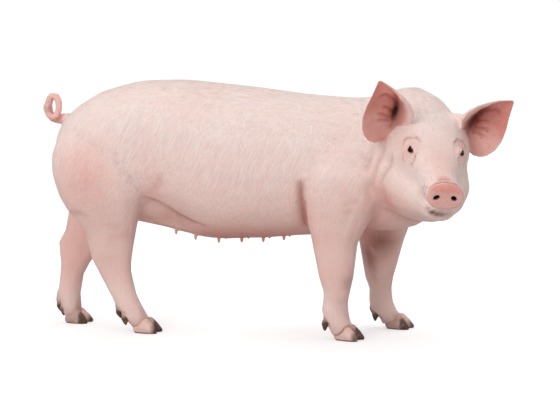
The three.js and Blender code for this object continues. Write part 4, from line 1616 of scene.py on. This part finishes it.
def flatPlaces(roots):
    coarse, flat = unwrapped()
    points, faces = meshPoints(coarse.data), trianglesOf(coarse.data)
    tree = BVHTree.FromPolygons(points.tolist(), faces.tolist())
    hits = [tree.find_nearest(root) for root in roots]
    face = np.array([hit[2] for hit in hits])
    spot = np.array([hit[0] for hit in hits])
    a, b, c = (points[faces[face, k]] for k in range(3))
    whole = np.cross(b - a, c - a)
    size = (whole * whole).sum(1)
    second = (np.cross(spot - a, c - a) * whole).sum(1) / size
    third = (np.cross(b - a, spot - a) * whole).sum(1) / size
    shares = np.clip(np.stack([1 - second - third, second, third], 1), 0, 1)
    bpy.data.objects.remove(coarse)
    return (flat[face] * shares[:, :, None]).sum(1)


def plantTufts():
    # where the tufts grow, evenly by area: roots with everything the skin knows there
    points, normals, faces = meshPoints(skin.data), meshNormals(skin.data), trianglesOf(skin.data)
    fields, lie = coatFields(points, normals), coatLie(points, normals)
    corners = points[faces]
    one, two = corners[:, 1] - corners[:, 0], corners[:, 2] - corners[:, 0]
    area = np.linalg.norm(np.cross(one, two), axis=1) / 2
    wanted = area * fields[faces, 0].mean(1)
    random = np.random.default_rng(coatLook["seed"])
    steps = np.cumsum(wanted)
    count = int(steps[-1])
    picks = (np.arange(count) + random.random(count)) / count * steps[-1]
    face = np.searchsorted(steps, picks).clip(0, len(faces) - 1)
    split = np.sort(random.random((len(face), 2)), axis=1)
    shares = np.stack([split[:, 0], split[:, 1] - split[:, 0], 1 - split[:, 1]], 1)

    def at(values):
        picked = values[faces[face]]
        return (picked * shares.reshape(shares.shape + (1,) * (picked.ndim - 2))).sum(1)

    here = {name: at(values) for name, values in masks.items()}
    return at(points), at(normals), at(lie), at(fields), here, random


def tuftPoints(roots, normals, lie, fields, random):
    # seven points for each tuft: three round its root, three round its middle and its tip
    count = len(roots)
    normals = normals / np.linalg.norm(normals, axis=1)[:, None]
    aside = np.cross(normals, lie)
    lie = lie + aside * (random.normal(0, coatLook["wander"], count))[:, None]
    lie /= np.linalg.norm(lie, axis=1)[:, None]
    aside = np.cross(normals, lie)
    length, width, stand = (
        fields[:, k + 1] * random.uniform(*coatLook["spreads"][k], count) for k in range(3)
    )
    tree = BVHTree.FromPolygons(meshPoints(skin.data).tolist(), trianglesOf(skin.data).tolist())

    def over(share, lift):
        # a point along the tuft, at its height over the skin there
        ideal = roots + lie * (length * share)[:, None]
        places = np.empty_like(roots)
        for k, point in enumerate(ideal):
            spot, normal, face, away = tree.find_nearest(point)
            places[k] = spot + normal * lift[k]
        return places

    middle = over(0.5, width * 0.2 + stand * 0.4)
    tip = over(1.0, width * 0.15 + stand)
    root = roots - normals * coatLook["sink"]
    corners = []
    for centre, size in ((root, 1.0), (middle, 0.8)):
        for turn in (math.pi / 2, math.pi * 7 / 6, math.pi * 11 / 6):
            out = aside * (width * size / 2 * math.cos(turn))[:, None]
            up = normals * (width * size / 2 * coatLook["flat"] * math.sin(turn))[:, None]
            corners.append(centre + out + up)
    corners.append(tip)
    return np.stack(corners, 1), normals


tuftFaces = [(0, 2, 1)]
for k in range(3):
    nextOne = (k + 1) % 3
    tuftFaces += [(k, nextOne, 3 + nextOne), (k, 3 + nextOne, 3 + k), (3 + k, 3 + nextOne, 6)]


def makeCoat():
    roots, normals, lie, fields, here, random = plantTufts()
    corners, normals = tuftPoints(roots, normals, lie, fields, random)
    report(f"grew {len(roots)} tufts")
    flat = flatPlaces(roots)
    report("unfolded the skin under them")
    ring = np.array([(math.cos(turn), math.sin(turn)) for turn in (0.5, 2.6, 4.7)])
    ring = ring * coatLook["patch"] / 2
    spread = np.vstack([ring, ring * 0.5, [(0, 0)]])
    tipShare = np.array([0, 0, 0, 0.6, 0.6, 0.6, 1.0])
    pieces = []
    count = math.ceil(len(roots) / coatLook["perPiece"])
    for k, chosen in enumerate(np.array_split(np.arange(len(roots)), count)):
        faces = (np.array(tuftFaces)[None] + np.arange(len(chosen))[:, None, None] * 7).reshape(-1, 3)
        mesh = bpy.data.meshes.new(f"coat_{k + 1}")
        mesh.from_pydata(corners[chosen].reshape(-1, 3), [], faces)
        layer = mesh.uv_layers.new(name="OFBake")
        places = (flat[chosen][:, None] + spread[None]).reshape(-1, 2)
        layer.data.foreach_set("uv", places[faces.ravel()].astype(np.float32).ravel())
        for name, values in here.items():
            addMask(mesh, name, np.repeat(values[chosen], 7))
        addMask(mesh, "tip", np.tile(tipShare, len(chosen)))
        shadeSmooth(mesh)
        mesh.normals_split_custom_set_from_vertices(np.repeat(normals[chosen], 7, axis=0).tolist())
        mesh.materials.append(coatMaterial)
        piece = addObject(f"coat_{k + 1}", mesh)
        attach(piece, "root")
        pieces.append(piece)
    return pieces


coat = makeCoat()
report(f"made the coat in {len(coat)} pieces")
